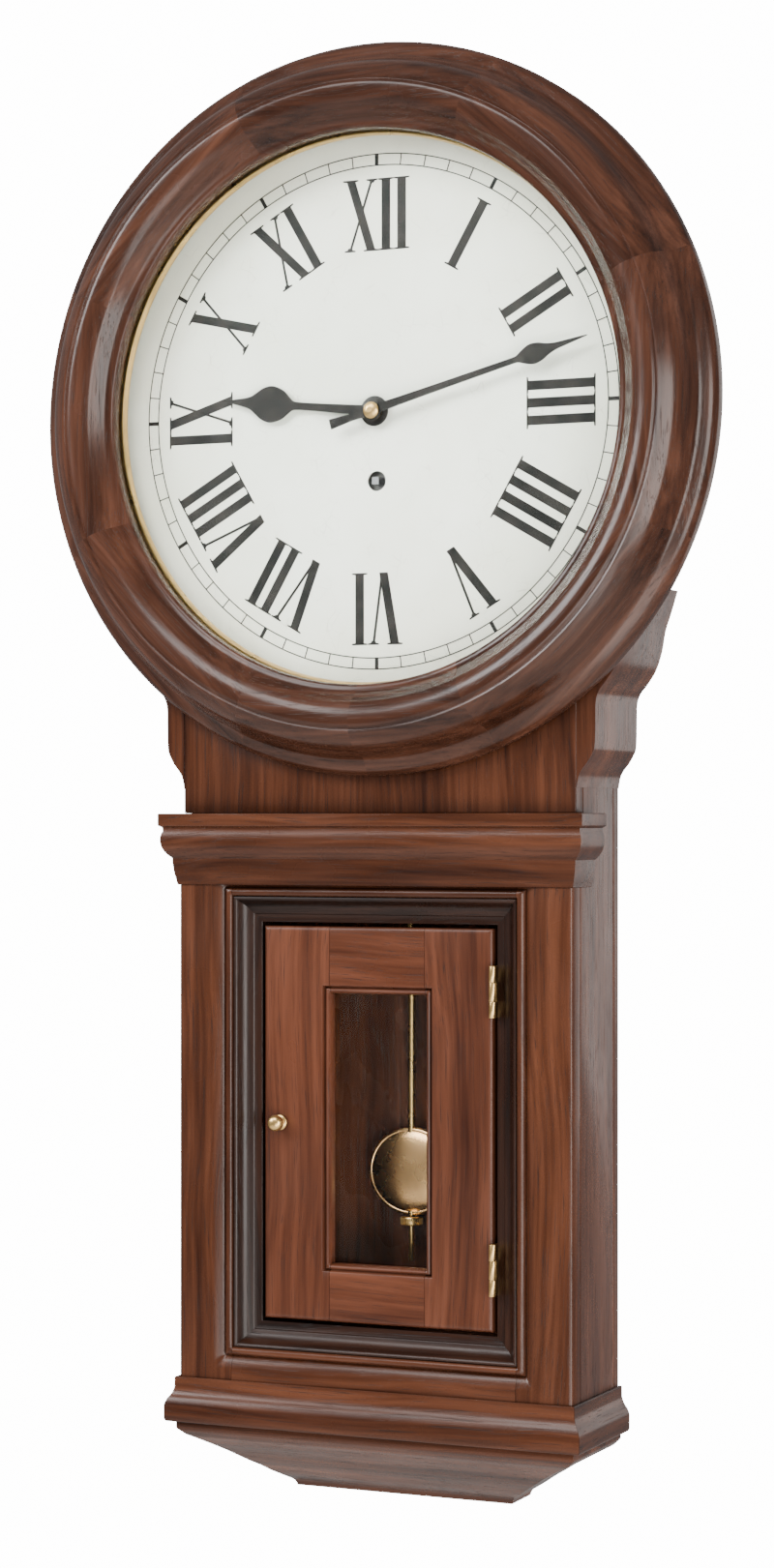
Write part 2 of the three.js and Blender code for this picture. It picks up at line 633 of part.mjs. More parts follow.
const pinion = (at, teeth, module, phase, yBack, yFront) => {
  const r = (teeth * module) / 2;
  const outline = toothed(at, teeth, r + 0.55 * module, r - 1.15 * module, 0.24, 0.1, phase);
  return plate(outline, yBack, yFront);
};

const heading = (from, to) => Math.atan2(to[1] - from[1], to[0] - from[0]);
const gapPhase = (from, to, teeth) => heading(from, to) + Math.PI / teeth;

const addPlates = () => {
  const outline = [[-40, -74], [40, -74], [40, 60], [34, 68], [-34, 68], [-40, 60]];
  const back = plate(outline, BACK_PLATE_Y, BACK_PLATE_FRONT);
  const front = plate(outline, FRONT_PLATE_Y, FRONT_PLATE_FRONT);
  const drill = (r, at, n = 12) => rodY(r, 0, -100, n, at[0], at[1]);
  const pivots = [THIRD_AT, ESCAPE_AT].map((at) => drill(1.1, at));
  add("back_plate", cut(
    back, ...pivots, drill(1.1, [0, 0]), drill(2.12, WINDING_AT), drill(1.6, ANCHOR_AT),
    ...PILLARS.map((at) => drill(3.1, at))), "brass");
  add("front_plate", cut(
    front, ...pivots, drill(1.1, ANCHOR_AT), drill(3.12, [0, 0], 20), drill(3, WINDING_AT, 20),
    drill(1.1, MINUTE_WHEEL_AT), ...PILLARS.map((at) => drill(2.1, at))), "brass");
};

const addPillars = () => {
  PILLARS.forEach(([x, z], i) => {
    const shank = rodY(2.9, -BACK_T, BACK_PLATE_FRONT, 12, x, z);
    const post = rodY(3.8, BACK_PLATE_FRONT, FRONT_PLATE_Y, 12, x, z);
    const rivet = rodY(2, FRONT_PLATE_Y, FRONT_PLATE_FRONT - 1, 12, x, z);
    add("pillar_" + (i + 1), join(shank, post, rivet), "brass");
  });
};

// An arbor with a pivot in each plate.
const arbor = (at, r, pivot) => join(
  rodY(r, BACK_PLATE_FRONT - END_GAP, FRONT_PLATE_Y + END_GAP, 12, ...at),
  rodY(pivot, BACK_PLATE_Y, FRONT_PLATE_FRONT, 12, ...at));

const addBarrel = () => {
  const drum = rodY(24, -36, -48.5, 40, ...WINDING_AT);
  const great = wheel(WINDING_AT, GREAT, Math.PI / 2, -48, -50.5);
  const bore = rodY(3 + RUN_GAP, 0, -100, 20, ...WINDING_AT);
  add("barrel", cut(join(drum, great), bore), "brass");
  const y0 = BACK_PLATE_FRONT - END_GAP;
  const y1 = FRONT_PLATE_Y + END_GAP;
  const z = WINDING_Z;
  const shaft = join(
    rodY(2, BACK_PLATE_Y, y0, 12, 0, z),
    rodY(3, y0, y1, 20, 0, z),
    rodY(2.85, y1, FRONT_PLATE_FRONT - 1, 20, 0, z),
    plate(toothed(WINDING_AT, 16, 9, 7.6, 0.4, 0.12, 0), FRONT_PLATE_FRONT - 0.7, FRONT_PLATE_FRONT - 2.3),
    box(-2, 2, -65.2, FRONT_PLATE_FRONT - 2, z - 2, z + 2));
  add("winding_arbor", shaft, "steel");
};

const addCentreWheel = () => {
  const c = [0, 0];
  const towardThird = heading(c, THIRD_AT);
  const body = join(
    rodY(1, BACK_PLATE_Y, -28, 12),
    rodY(1.6, BACK_PLATE_FRONT - END_GAP, -47, 12),
    wheel(c, CENTRE, towardThird, -33, -34.5),
    pinion(c, 12, GREAT.module, gapPhase(c, WINDING_AT, 12), -46.5, -51.2),
    rodY(3, -51.2, -69.5 - 1.2, 20),
    pinion(c, 12, MOTION_1.module, gapPhase(c, MINUTE_WHEEL_AT, 12), -55.2, -57.2),
    rodY(1.5, -70, -73.4, 12));
  add("centre_wheel", body, "brass");
};

const addThirdWheel = () => {
  const pin = pinion(THIRD_AT, 6, CENTRE.module, gapPhase(THIRD_AT, [0, 0], 6), -30.5, -37);
  const disc = wheel(THIRD_AT, THIRD, heading(THIRD_AT, ESCAPE_AT), -44, -45.5);
  add("third_wheel", join(arbor(THIRD_AT, 1.3, 1), pin, disc), "brass");
};

const addEscapement = () => {
  const pin = pinion(ESCAPE_AT, 6, THIRD.module, gapPhase(ESCAPE_AT, THIRD_AT, 6), -42.5, -47);
  const pitch = (2 * Math.PI) / ESCAPE_TEETH;
  const entry = Math.PI * 0.75;
  const points = [];
  for (let i = 0; i < ESCAPE_TEETH; i += 1) {
    const c = entry + (i + 0.25) * pitch;
    [[ESCAPE_R - 3, -0.3], [ESCAPE_R, -0.04], [ESCAPE_R, 0.04], [ESCAPE_R - 3, 0.12]].forEach(([r, s]) => {
      points.push([ESCAPE_AT[0] + r * Math.cos(c + s * pitch), ESCAPE_AT[1] + r * Math.sin(c + s * pitch)]);
    });
  }
  add("escape_wheel", join(arbor(ESCAPE_AT, 1.2, 1), pin, plate(points, -29.5, -31)), "brass");
};

const addAnchor = () => {
  const [, az] = ANCHOR_AT;
  const tipZ = ESCAPE_AT[1] + (ESCAPE_R + 0.2) * Math.SQRT1_2;
  const tipX = (ESCAPE_R + 0.2) * Math.SQRT1_2;
  const half = [
    [tipX + 3.4, az - 3.2],
    [tipX + 3.6, az - 6],
    [tipX + 0.8, tipZ + 0.9],
    [tipX, tipZ],
    [tipX - 0.2, tipZ + 1.6],
    [tipX + 0.2, az - 5.6],
  ];
  const mirrored = half.map(([x, z]) => [-x, z]).reverse();
  const outline = [[0, az + 3], ...half, [0, az - 2.6], ...mirrored];
  const leg = (x0) => box(x0, x0 + 1.6, -23.3, ROD_Y + 2, 7.4, 11.6);
  const body = join(
    rodY(1.4, -22.6, FRONT_PLATE_Y + END_GAP, 12, 0, az),
    rodY(1, -30, FRONT_PLATE_FRONT, 12, 0, az),
    plate(outline, -28.8, -31.6),
    box(-1.7, 1.7, -23.5, -22.4, 8, az + 2.2),
    box(-4.4, 4.4, -23.6, -22.3, 7, 12),
    leg(-4.1),
    leg(2.5));
  add("anchor", body, "steel");
};

const addMotionWork = () => {
  const at = MINUTE_WHEEL_AT;
  const c = [0, 0];
  const first = wheel(at, MOTION_1, heading(at, c), -55.5, -56.9);
  const second = pinion(at, 10, MOTION_2.module, gapPhase(at, c, 10), -56.8, -60.4);
  const shaft = rodY(1, FRONT_PLATE_Y, -61, 12, ...at);
  add("minute_wheel", join(first, second, shaft), "brass");
  const pipe = rodY(4.5, -57.8, -67, 20);
  const disc = wheel(c, MOTION_2, heading(c, at), -58.4, -59.6);
  const bore = rodY(3 + RUN_GAP, 0, -100, 20);
  add("hour_wheel", cut(join(pipe, disc), bore), "brass");
};

// Pendulum ----------------------------------------------------------------------------------------
const PIVOT_Z = ANCHOR_AT[1];

const addPendulum = () => {
  const feet = [-1, 1].map((s) => box(
    s > 0 ? 7 : -12, s > 0 ? 12 : -7, BACK_PLATE_Y, ROD_Y - 2, PIVOT_Z - 3, PIVOT_Z + 5));
  const bridge = box(-12, 12, ROD_Y - 3, ROD_Y + 3, PIVOT_Z - 3, PIVOT_Z + 5);
  const slot = box(-0.7, 0.7, ROD_Y - 4, ROD_Y + 4, PIVOT_Z - 4, PIVOT_Z + 2.5);
  add("suspension_cock", cut(join(...feet, bridge), slot), "brass");
  const threadTop = BOB_Z - BOB_R + 3;
  const rod = join(
    box(-0.25, 0.25, ROD_Y - 2.4, ROD_Y + 2.4, PIVOT_Z - 26, PIVOT_Z + 2.2),
    box(-3, 3, ROD_Y - 2.6, ROD_Y + 2.6, PIVOT_Z - 32, PIVOT_Z - 20),
    rodZ(2, threadTop, PIVOT_Z - 24, 12, 0, ROD_Y),
    rodZ(1.5, threadTop - 28, threadTop + 1, 12, 0, ROD_Y));
  add("pendulum_rod", rod, "brass");
  const t = BOB_T / 2;
  const lens = turned(
    [
      [0, ROD_Y - t],
      [0.45 * BOB_R, ROD_Y - 0.9 * t],
      [0.8 * BOB_R, ROD_Y - 0.62 * t],
      [BOB_R, ROD_Y - 0.18 * t],
      [BOB_R, ROD_Y + 0.18 * t],
      [0.8 * BOB_R, ROD_Y + 0.62 * t],
      [0.45 * BOB_R, ROD_Y + 0.9 * t],
      [0, ROD_Y + t],
    ],
    40, 0, BOB_Z);
  const bore = rodZ(2.2, BOB_Z - BOB_R - 2, BOB_Z + BOB_R + 2, 16, 0, ROD_Y);
  add("bob", cut(lens, bore), "brass");
  const nutTop = BOB_Z - BOB_R - TOUCH_GAP;
  const nut = cut(rodZ(6, nutTop - 5, nutTop, 20, 0, ROD_Y), rodZ(1.65, nutTop - 6, nutTop + 1, 16, 0, ROD_Y));
  add("rating_nut", nut, "brass");
};

addBackBoard();
addDrum();
addEars();
addNeck();
addTrunkSides();
addFrame();
addCoves();
addShelf();
addBase();
addFoot();
addDoor();
addDoorTurn();
addDoorHinge("upper", DOOR_TOP - 34);
addDoorHinge("lower", DOOR_BOTTOM + 34);
addBezelHinge();
addBezel();
addDial();
addHands();
addPlates();
addPillars();
addBarrel();
addCentreWheel();
addThirdWheel();
addEscapement();
addAnchor();
addMotionWork();
addPendulum();

export default group;
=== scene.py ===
"""Pendulum wall clock, built up in the order that its case maker and clockmaker put it together."""

import json
import math

import bmesh
import bpy
from mathutils import Matrix, Vector

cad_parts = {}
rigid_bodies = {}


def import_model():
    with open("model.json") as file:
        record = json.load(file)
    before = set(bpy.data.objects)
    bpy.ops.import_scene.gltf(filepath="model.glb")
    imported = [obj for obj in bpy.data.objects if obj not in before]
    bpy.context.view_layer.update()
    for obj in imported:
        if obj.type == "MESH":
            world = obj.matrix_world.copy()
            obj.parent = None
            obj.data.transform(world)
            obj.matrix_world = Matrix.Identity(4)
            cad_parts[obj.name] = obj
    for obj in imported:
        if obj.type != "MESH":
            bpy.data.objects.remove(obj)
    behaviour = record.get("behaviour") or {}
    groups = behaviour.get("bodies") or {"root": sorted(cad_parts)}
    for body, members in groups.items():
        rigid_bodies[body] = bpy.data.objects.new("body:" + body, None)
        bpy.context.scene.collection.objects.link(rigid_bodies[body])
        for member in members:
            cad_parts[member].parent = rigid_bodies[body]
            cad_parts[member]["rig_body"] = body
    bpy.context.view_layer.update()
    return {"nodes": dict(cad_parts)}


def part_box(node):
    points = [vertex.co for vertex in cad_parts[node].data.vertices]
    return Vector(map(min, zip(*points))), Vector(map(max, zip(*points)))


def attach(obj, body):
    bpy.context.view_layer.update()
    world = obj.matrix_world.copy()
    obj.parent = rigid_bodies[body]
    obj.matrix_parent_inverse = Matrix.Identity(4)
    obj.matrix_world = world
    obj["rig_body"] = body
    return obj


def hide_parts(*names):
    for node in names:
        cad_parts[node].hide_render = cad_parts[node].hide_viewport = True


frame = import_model()


# ---- Room and camera --------------------------------------------------------------------------------
# A pale studio: floor well below the clock, white surroundings, broad soft lamps to the right, left,
# below, above and behind, and the viewer standing to the clock's right at trunk height.
def put(name, data):
    """A new object at the origin, in the scene."""
    made = bpy.data.objects.new(name, data)
    bpy.context.scene.collection.objects.link(made)
    return made


def area_lamp(name, place, target, size, watts, colour):
    data = bpy.data.lights.new(name, "AREA")
    data.shape = "RECTANGLE"
    data.size, data.size_y = size
    data.energy = watts
    data.color = colour
    lamp = put(name, data)
    lamp.location = place
    lamp.rotation_euler = (Vector(target) - Vector(place)).to_track_quat("-Z", "Y").to_euler()


area_lamp("lamp_right", (1.9, -1.25, -0.3), (0, 0, -0.2), (1.1, 1.5), 62, (1.0, 0.98, 0.95))
area_lamp("lamp_left", (-1.9, -1.7, 1.0), (0, 0, -0.1), (1.1, 1.1), 78, (0.99, 0.99, 1.0))
area_lamp("lamp_low", (0.75, -1.7, -1.05), (0, 0, -0.15), (1.2, 0.6), 17, (1.0, 0.98, 0.95))
area_lamp("lamp_above", (-0.35, -1.6, 1.45), (0, 0, -0.1), (1.3, 0.9), 46, (1.0, 1.0, 1.0))
area_lamp("lamp_behind", (1.05, 1.6, 0.1), (0.1, 0, -0.25), (1.2, 1.4), 8, (1.0, 0.98, 0.96))

world = bpy.data.worlds.new("studio")
bpy.context.scene.world = world
world.use_nodes = True
tree = world.node_tree
tree.nodes.clear()
lit = tree.nodes.new("ShaderNodeBackground")
lit.inputs["Color"].default_value = (0.86, 0.88, 0.9, 1)
lit.inputs["Strength"].default_value = 0.42
seen = tree.nodes.new("ShaderNodeBackground")
seen.inputs["Color"].default_value = (1.0, 0.995, 0.985, 1)
seen.inputs["Strength"].default_value = 15.0
path = tree.nodes.new("ShaderNodeLightPath")
either = tree.nodes.new("ShaderNodeMixShader")
out = tree.nodes.new("ShaderNodeOutputWorld")
tree.links.new(path.outputs["Is Camera Ray"], either.inputs[0])
tree.links.new(lit.outputs[0], either.inputs[1])
tree.links.new(seen.outputs[0], either.inputs[2])
tree.links.new(either.outputs[0], out.inputs["Surface"])

FLOOR_DROP = 1.35
FLOOR_HALF, FLOOR_NEAR, FLOOR_FAR = 2.0, -2.4, 1.6
floor_corners = [(-FLOOR_HALF, FLOOR_NEAR), (FLOOR_HALF, FLOOR_NEAR),
                 (FLOOR_HALF, FLOOR_FAR), (-FLOOR_HALF, FLOOR_FAR)]
floor_mesh = bpy.data.meshes.new("floor")
floor_mesh.from_pydata([(x, y, -FLOOR_DROP) for x, y in floor_corners], [], [(0, 1, 2, 3)])
floor = put("floor", floor_mesh)
pale = bpy.data.materials.new("pale_floor")
pale.use_nodes = True
pale.node_tree.nodes["Principled BSDF"].inputs["Base Color"].default_value = (0.82, 0.81, 0.79, 1)
pale.node_tree.nodes["Principled BSDF"].inputs["Roughness"].default_value = 0.7
floor_mesh.materials.append(pale)

VIEW_TURN = math.radians(24.2)
VIEW_DISTANCE = 1.8
EYE_HEIGHT = -0.225
AIM = (0.0015, -0.065)
camera_data = bpy.data.cameras.new("camera")
camera_data.lens = 75.5
camera_data.sensor_width = 36
camera_data.shift_x = 0.0056
camera_data.shift_y = 0.0244
camera = put("camera", camera_data)
camera.location = (
    AIM[0] + VIEW_DISTANCE * math.sin(VIEW_TURN), AIM[1] - VIEW_DISTANCE * math.cos(VIEW_TURN), EYE_HEIGHT)
camera.rotation_euler = (math.radians(90), 0, VIEW_TURN)
bpy.context.scene.camera = camera


# ---- Back board -------------------------------------------------------------------------------------
# A keyhole-shaped mahogany board, round behind the dial and straight behind the trunk. Everything else
# is screwed or glued to it. Polished like the case, with its edges eased.
def add_node(tree, kind, inputs=None, **settings):
    made = tree.nodes.new(kind)
    for key, value in settings.items():
        setattr(made, key, value)
    for key, value in (inputs or {}).items():
        if isinstance(value, bpy.types.NodeSocket):
            tree.links.new(value, made.inputs[key])
        else:
            made.inputs[key].default_value = value
    return made


def sums(tree, operation, a, b=None, c=None):
    made = add_node(tree, "ShaderNodeMath", operation=operation)
    for socket, value in zip(made.inputs, (a, b, c)):
        if isinstance(value, bpy.types.NodeSocket):
            tree.links.new(value, socket)
        elif value is not None:
            socket.default_value = value
    return made.outputs[0]


def length_of(tree, place):
    return add_node(tree, "ShaderNodeVectorMath", {0: place}, operation="LENGTH").outputs["Value"]


def grain_place(tree, lay, shift=(0, 0, 0)):
    """Object coordinates with X along the grain: straight along an axis, or in eight butted segments."""
    here = add_node(tree, "ShaderNodeTexCoord").outputs["Object"]
    apart = add_node(tree, "ShaderNodeSeparateXYZ", {0: here})
    x, y, z = apart.outputs
    if lay == "ring":
        turn = sums(tree, "ARCTAN2", x, z)
        part = sums(tree, "FLOOR", sums(tree, "MULTIPLY_ADD", turn, 4 / math.pi, 0.5))
        rest = sums(tree, "SUBTRACT", turn, sums(tree, "MULTIPLY", part, math.pi / 4))
        flat = add_node(tree, "ShaderNodeCombineXYZ", {0: x, 1: z})
        radius = length_of(tree, flat.outputs[0])
        apart_along = sums(tree, "MULTIPLY", part, 1.7)
        along = sums(tree, "MULTIPLY_ADD", radius, sums(tree, "SINE", rest), apart_along)
        across = sums(tree, "MULTIPLY", radius, sums(tree, "COSINE", rest))
        parts = (along, across, y)
    else:
        parts = {"Z": (z, x, y), "X": (x, z, y), "Y": (y, x, z)}[lay]
    joined = add_node(tree, "ShaderNodeCombineXYZ", dict(enumerate(parts)))
    moved = add_node(tree, "ShaderNodeVectorMath", {0: joined.outputs[0], 1: shift}, operation="ADD")
    return moved.outputs[0]


def noise(tree, place, stretch, scale, detail=4.0, distortion=0.0):
    pulled = add_node(tree, "ShaderNodeMapping", {"Vector": place, "Scale": (stretch, 1, 1)})
    return add_node(tree, "ShaderNodeTexNoise", {
        "Vector": pulled.outputs[0], "Scale": scale, "Detail": detail, "Distortion": distortion}).outputs[0]


def ramp(tree, value, stops):
    made = add_node(tree, "ShaderNodeValToRGB", {0: value})
    bar = made.color_ramp
    while len(bar.elements) < len(stops):
        bar.elements.new(0.5)
    for element, (at, colour) in zip(bar.elements, stops):
        element.position = at
        element.color = (*colour, 1) if len(colour) == 3 else colour
    return made.outputs[0]


def blend(tree, how, share, a, b):
    made = add_node(tree, "ShaderNodeMix", data_type="RGBA", blend_type=how)
    for socket, value in ((made.inputs[0], share), (made.inputs[6], a), (made.inputs[7], b)):
        if isinstance(value, bpy.types.NodeSocket):
            tree.links.new(value, socket)
        else:
            socket.default_value = value if isinstance(value, float) else (*value, 1)
    return made.outputs[2]


def between(tree, value, low, high, to_low, to_high):
    """The value from low to high, spread over to_low to to_high."""
    spread = add_node(tree, "ShaderNodeMapRange", {0: value, 1: low, 2: high, 3: to_low, 4: to_high})
    return spread.outputs[0]


def grey(level):
    return (level, level, level)


def new_finish(name):
    """A new material, with its node tree and its surface shader."""
    made = bpy.data.materials.new(name)
    made.use_nodes = True
    return made, made.node_tree, made.node_tree.nodes["Principled BSDF"]


def surfaced(tree, shader, colour, rough, strength, distance, relief):
    """Colour, roughness and fine relief led into the surface shader."""
    tree.links.new(colour, shader.inputs["Base Color"])
    tree.links.new(rough, shader.inputs["Roughness"])
    bump = add_node(tree, "ShaderNodeBump", {"Strength": strength, "Distance": distance, "Height": relief})
    tree.links.new(bump.outputs[0], shader.inputs["Normal"])


def painted_corner_shade(tree, reach, dark, light):
    """Painted shade: a grey that darkens where another surface stands closer than the reach."""
    open_share = add_node(tree, "ShaderNodeAmbientOcclusion", {"Distance": reach}, samples=6).outputs["AO"]
    return ramp(tree, open_share, [(dark[0], grey(dark[1])), (light, grey(1.0))])


woods = {}


def polished_wood(name, deep, middle, light, lay="Z", gloss=(0.2, 0.36), shift=(0, 0, 0)):
    """French polish over figured wood: broad stripes, fine streaks, dark pores, painted shade in the corners.
    """
    key = (name, lay)
    if key in woods:
        return woods[key]
    made, tree, shader = new_finish(f"{name}_{lay.lower()}")
    place = grain_place(tree, lay, shift)
    sway = noise(tree, place, 0.6, 7.0, 2.0)
    sideways = add_node(tree, "ShaderNodeCombineXYZ", {
        1: sums(tree, "MULTIPLY", sway, 0.03), 2: sums(tree, "MULTIPLY", sway, 0.02)}).outputs[0]
    swayed = add_node(tree, "ShaderNodeVectorMath", {0: place, 1: sideways}, operation="ADD").outputs[0]
    stripe = noise(tree, swayed, 0.05, 62.0, 5.0, 0.5)
    streak = noise(tree, swayed, 0.035, 330.0, 4.0)
    pores = noise(tree, swayed, 0.02, 1500.0, 2.0)
    broad = noise(tree, place, 0.5, 6.5, 3.0)
    figure = sums(tree, "MULTIPLY_ADD", stripe, 0.62, sums(tree, "MULTIPLY", streak, 0.38))
    colour = ramp(tree, figure, [(0.34, deep), (0.5, middle), (0.68, light)])
    shade = ramp(tree, broad, [(0.3, grey(0.74)), (0.7, grey(1.12))])
    colour = blend(tree, "MULTIPLY", 1.0, colour, shade)
    pitted = ramp(tree, pores, [(0.6, grey(0.0)), (0.7, grey(1.0))])
    colour = blend(tree, "MIX", sums(tree, "MULTIPLY", pitted, 0.62), colour, tuple(0.22 * c for c in deep))
    # Painted shade: ambient occlusion darkens the colour in corners and recesses.
    colour = blend(tree, "MULTIPLY", 0.85, colour, painted_corner_shade(tree, 0.009, (0.35, 0.42), 0.85))
    cloudy = noise(tree, place, 0.7, 26.0, 4.0)
    rough = sums(tree, "MULTIPLY_ADD", pitted, 0.22, between(tree, cloudy, 0.3, 0.7, *gloss))
    relief = sums(tree, "MULTIPLY_ADD", pitted, -0.5, sums(tree, "MULTIPLY", streak, 0.3))
    relief = sums(tree, "MULTIPLY_ADD", cloudy, 0.5, relief)
    surfaced(tree, shader, colour, rough, 0.3, 0.00035, relief)
    shader.inputs["Specular IOR Level"].default_value = 0.2
    shader.inputs["Coat Weight"].default_value = 0.1
    shader.inputs["Coat Roughness"].default_value = 0.14
    woods[key] = made
    return made


def case_wood(lay="Z"):
    deep, middle, light = (0.02, 0.0053, 0.0022), (0.058, 0.0178, 0.0075), (0.112, 0.038, 0.018)
    return polished_wood("case_mahogany", deep, middle, light, lay)


def shown(piece, material, *nodes):
    """The piece in its finish, riding with the nodes it stands for."""
    piece.data.materials.clear()
    piece.data.materials.append(material)
    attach(piece, frame["nodes"][nodes[0]]["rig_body"])
    return piece


def standing_for(piece, material, *nodes):
    shown(piece, material, *nodes)
    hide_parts(*nodes)
    return piece


def closed_up(mesh):
    """Doubled points merged and every face turned outwards."""
    work = bmesh.new()
    work.from_mesh(mesh)
    bmesh.ops.remove_doubles(work, verts=work.verts, dist=1e-7)
    bmesh.ops.recalc_face_normals(work, faces=work.faces)
    work.to_mesh(mesh)
    work.free()
    return mesh


def new_piece(name, points, faces):
    mesh = bpy.data.meshes.new(name)
    mesh.from_pydata(points, [], faces)
    return put(name, closed_up(mesh))


def eased(piece, width, steps=2, angle=32):
    """Every sharp edge of the piece taken off by the same small round."""
    piece.data.shade_smooth()
    round_off = piece.modifiers.new("eased", "BEVEL")
    round_off.width = width
    round_off.segments = steps
    round_off.limit_method = "ANGLE"
    round_off.angle_limit = math.radians(angle)
    round_off.harden_normals = True
    return piece


def eased_copy(node, name, width, steps=2):
    """The CAD node's own shape, merged into clean faces, with its edges eased."""
    mesh = frame["nodes"][node].data.copy()
    mesh.name = name
    work = bmesh.new()
    work.from_mesh(mesh)
    bmesh.ops.remove_doubles(work, verts=work.verts, dist=2e-6)
    bmesh.ops.dissolve_limit(work, angle_limit=math.radians(0.6), verts=work.verts, edges=work.edges)
    work.to_mesh(mesh)
    work.free()
    return eased(put(name, mesh), width, steps)


for node, lay in (("back_board", "Z"), ("bottom_board", "X")):
    standing_for(eased_copy(node, f"{node}_polished", 0.0008), case_wood(lay), node)


# ---- Hanger plate and screws ------------------------------------------------------------------------
# A pressed steel keyhole plate let into the back of the head and held by four countersunk screws. The
# same slotted screws hold the back board to the trunk sides and the drum.
def worn_metal(name, bright, tarnish, rough):
    """Handled metal: fine draw lines, cloudy tarnish and painted shade in the corners."""
    made, tree, shader = new_finish(name)
    place = grain_place(tree, "Z")
    cloud = noise(tree, place, 1.0, 75.0, 6.0, 0.4)
    lines = noise(tree, place, 0.04, 2600.0, 2.0)
    fine = noise(tree, place, 1.0, 520.0, 3.0)
    share = ramp(tree, cloud, [(0.42, grey(0.0)), (0.72, grey(1.0))])
    colour = blend(tree, "MIX", sums(tree, "MULTIPLY", share, 0.4), bright, tarnish)
    # Painted shade: ambient occlusion darkens the colour in corners and recesses.
    colour = blend(tree, "MULTIPLY", 0.8, colour, painted_corner_shade(tree, 0.004, (0.3, 0.35), 0.8))
    level = sums(tree, "MULTIPLY_ADD", fine, 0.08, between(tree, cloud, 0.3, 0.7, *rough))
    relief = sums(tree, "MULTIPLY_ADD", lines, 0.25, sums(tree, "MULTIPLY", cloud, 0.5))
    surfaced(tree, shader, colour, level, 0.18, 0.0002, relief)
    shader.inputs["Metallic"].default_value = 1.0
    return made


steel = worn_metal("worked_steel", (0.44, 0.44, 0.45), (0.2, 0.17, 0.14), (0.26, 0.42))
brass = worn_metal("aged_brass", (0.66, 0.43, 0.17), (0.32, 0.19, 0.075), (0.2, 0.36))
standing_for(eased_copy("hanger_plate", "hanger_plate_pressed", 0.0003), steel, "hanger_plate")


def group_input(tree, name, kind, value):
    """A named size on a Geometry Nodes group; returns the identifier that a modifier sets it by."""
    socket = tree.interface.new_socket(name, in_out="INPUT", socket_type=kind)
    if value is not None:
        socket.default_value = value
    return socket.identifier


def kept_plain(tree, geometry, material):
    """The end of a group: copies made real, the finish set, and the result handed out."""
    solid = add_node(tree, "GeometryNodeRealizeInstances", {"Geometry": geometry})
    coated = add_node(tree, "GeometryNodeSetMaterial", {"Geometry": solid.outputs[0], "Material": material})
    add_node(tree, "NodeGroupOutput", {0: coated.outputs[0]})


def screw_tree():
    """Slotted screw heads on the points of a mesh, each slot left where the screw pulled tight."""
    tree = bpy.data.node_groups.new("slotted_screws", "GeometryNodeTree")
    ids = {"Points": group_input(tree, "Points", "NodeSocketGeometry", None)}
    ids["Head Radius"] = group_input(tree, "Head Radius", "NodeSocketFloat", 0.0025)
    ids["Head Depth"] = group_input(tree, "Head Depth", "NodeSocketFloat", 0.0012)
    ids["Facing"] = group_input(tree, "Facing", "NodeSocketVector", (0, 0, 0))
    ids["Seed"] = group_input(tree, "Seed", "NodeSocketInt", 3)
    ids["Material"] = group_input(tree, "Material", "NodeSocketMaterial", None)
    tree.interface.new_socket("Screws", in_out="OUTPUT", socket_type="NodeSocketGeometry")
    given = tree.nodes.new("NodeGroupInput").outputs
    head = add_node(tree, "GeometryNodeMeshCylinder", {
        "Vertices": 20, "Radius": given["Head Radius"], "Depth": given["Head Depth"]})
    slot_length = sums(tree, "MULTIPLY", given["Head Radius"], 2.6)
    slot_width = sums(tree, "MULTIPLY", given["Head Radius"], 0.3)
    slot_size = add_node(tree, "ShaderNodeCombineXYZ", {
        0: slot_length, 1: slot_width, 2: given["Head Depth"]})
    slot = add_node(tree, "GeometryNodeMeshCube", {"Size": slot_size.outputs[0]})
    lift = add_node(tree, "ShaderNodeCombineXYZ", {2: sums(tree, "MULTIPLY", given["Head Depth"], 0.6)})
    raised = add_node(tree, "GeometryNodeTransform", {
        "Geometry": slot.outputs["Mesh"], "Translation": lift.outputs[0]})
    slotted = add_node(tree, "GeometryNodeMeshBoolean", {
        "Mesh 1": head.outputs["Mesh"], "Mesh 2": raised.outputs[0]}, operation="DIFFERENCE")
    spin = add_node(tree, "FunctionNodeRandomValue", {3: math.pi, "Seed": given["Seed"]}, data_type="FLOAT")
    turn = add_node(tree, "ShaderNodeCombineXYZ", {2: spin.outputs[1]})
    placed = add_node(tree, "GeometryNodeInstanceOnPoints", {
        "Points": given["Points"], "Instance": slotted.outputs["Mesh"], "Rotation": given["Facing"]})
    spun = add_node(tree, "GeometryNodeRotateInstances", {
        "Instances": placed.outputs[0], "Rotation": turn.outputs[0], "Local Space": True})
    kept_plain(tree, spun.outputs[0], given["Material"])
    return tree, ids


def evaluated_mesh(piece, name):
    """What the piece's modifiers make of it, as a mesh."""
    bpy.context.view_layer.update()
    mesh = bpy.data.meshes.new_from_object(piece.evaluated_get(bpy.context.evaluated_depsgraph_get()))
    mesh.name = name
    return mesh


def grown(name, start, tree, ids, sizes):
    """The start mesh put through a Geometry Nodes group and kept as plain mesh."""
    seed = put(name + "_start", start)
    growth = seed.modifiers.new(name, "NODES")
    growth.node_group = tree
    for key, value in sizes.items():
        growth[ids[key]] = value
    mesh = evaluated_mesh(seed, name)
    bpy.data.objects.remove(seed)
    return put(name, mesh)


SCREWS, SCREW_IDS = screw_tree()
QUARTER = math.radians(90)
FACING = {"+Y": (-QUARTER, 0, 0), "+X": (0, QUARTER, 0), "-X": (0, -QUARTER, 0)}


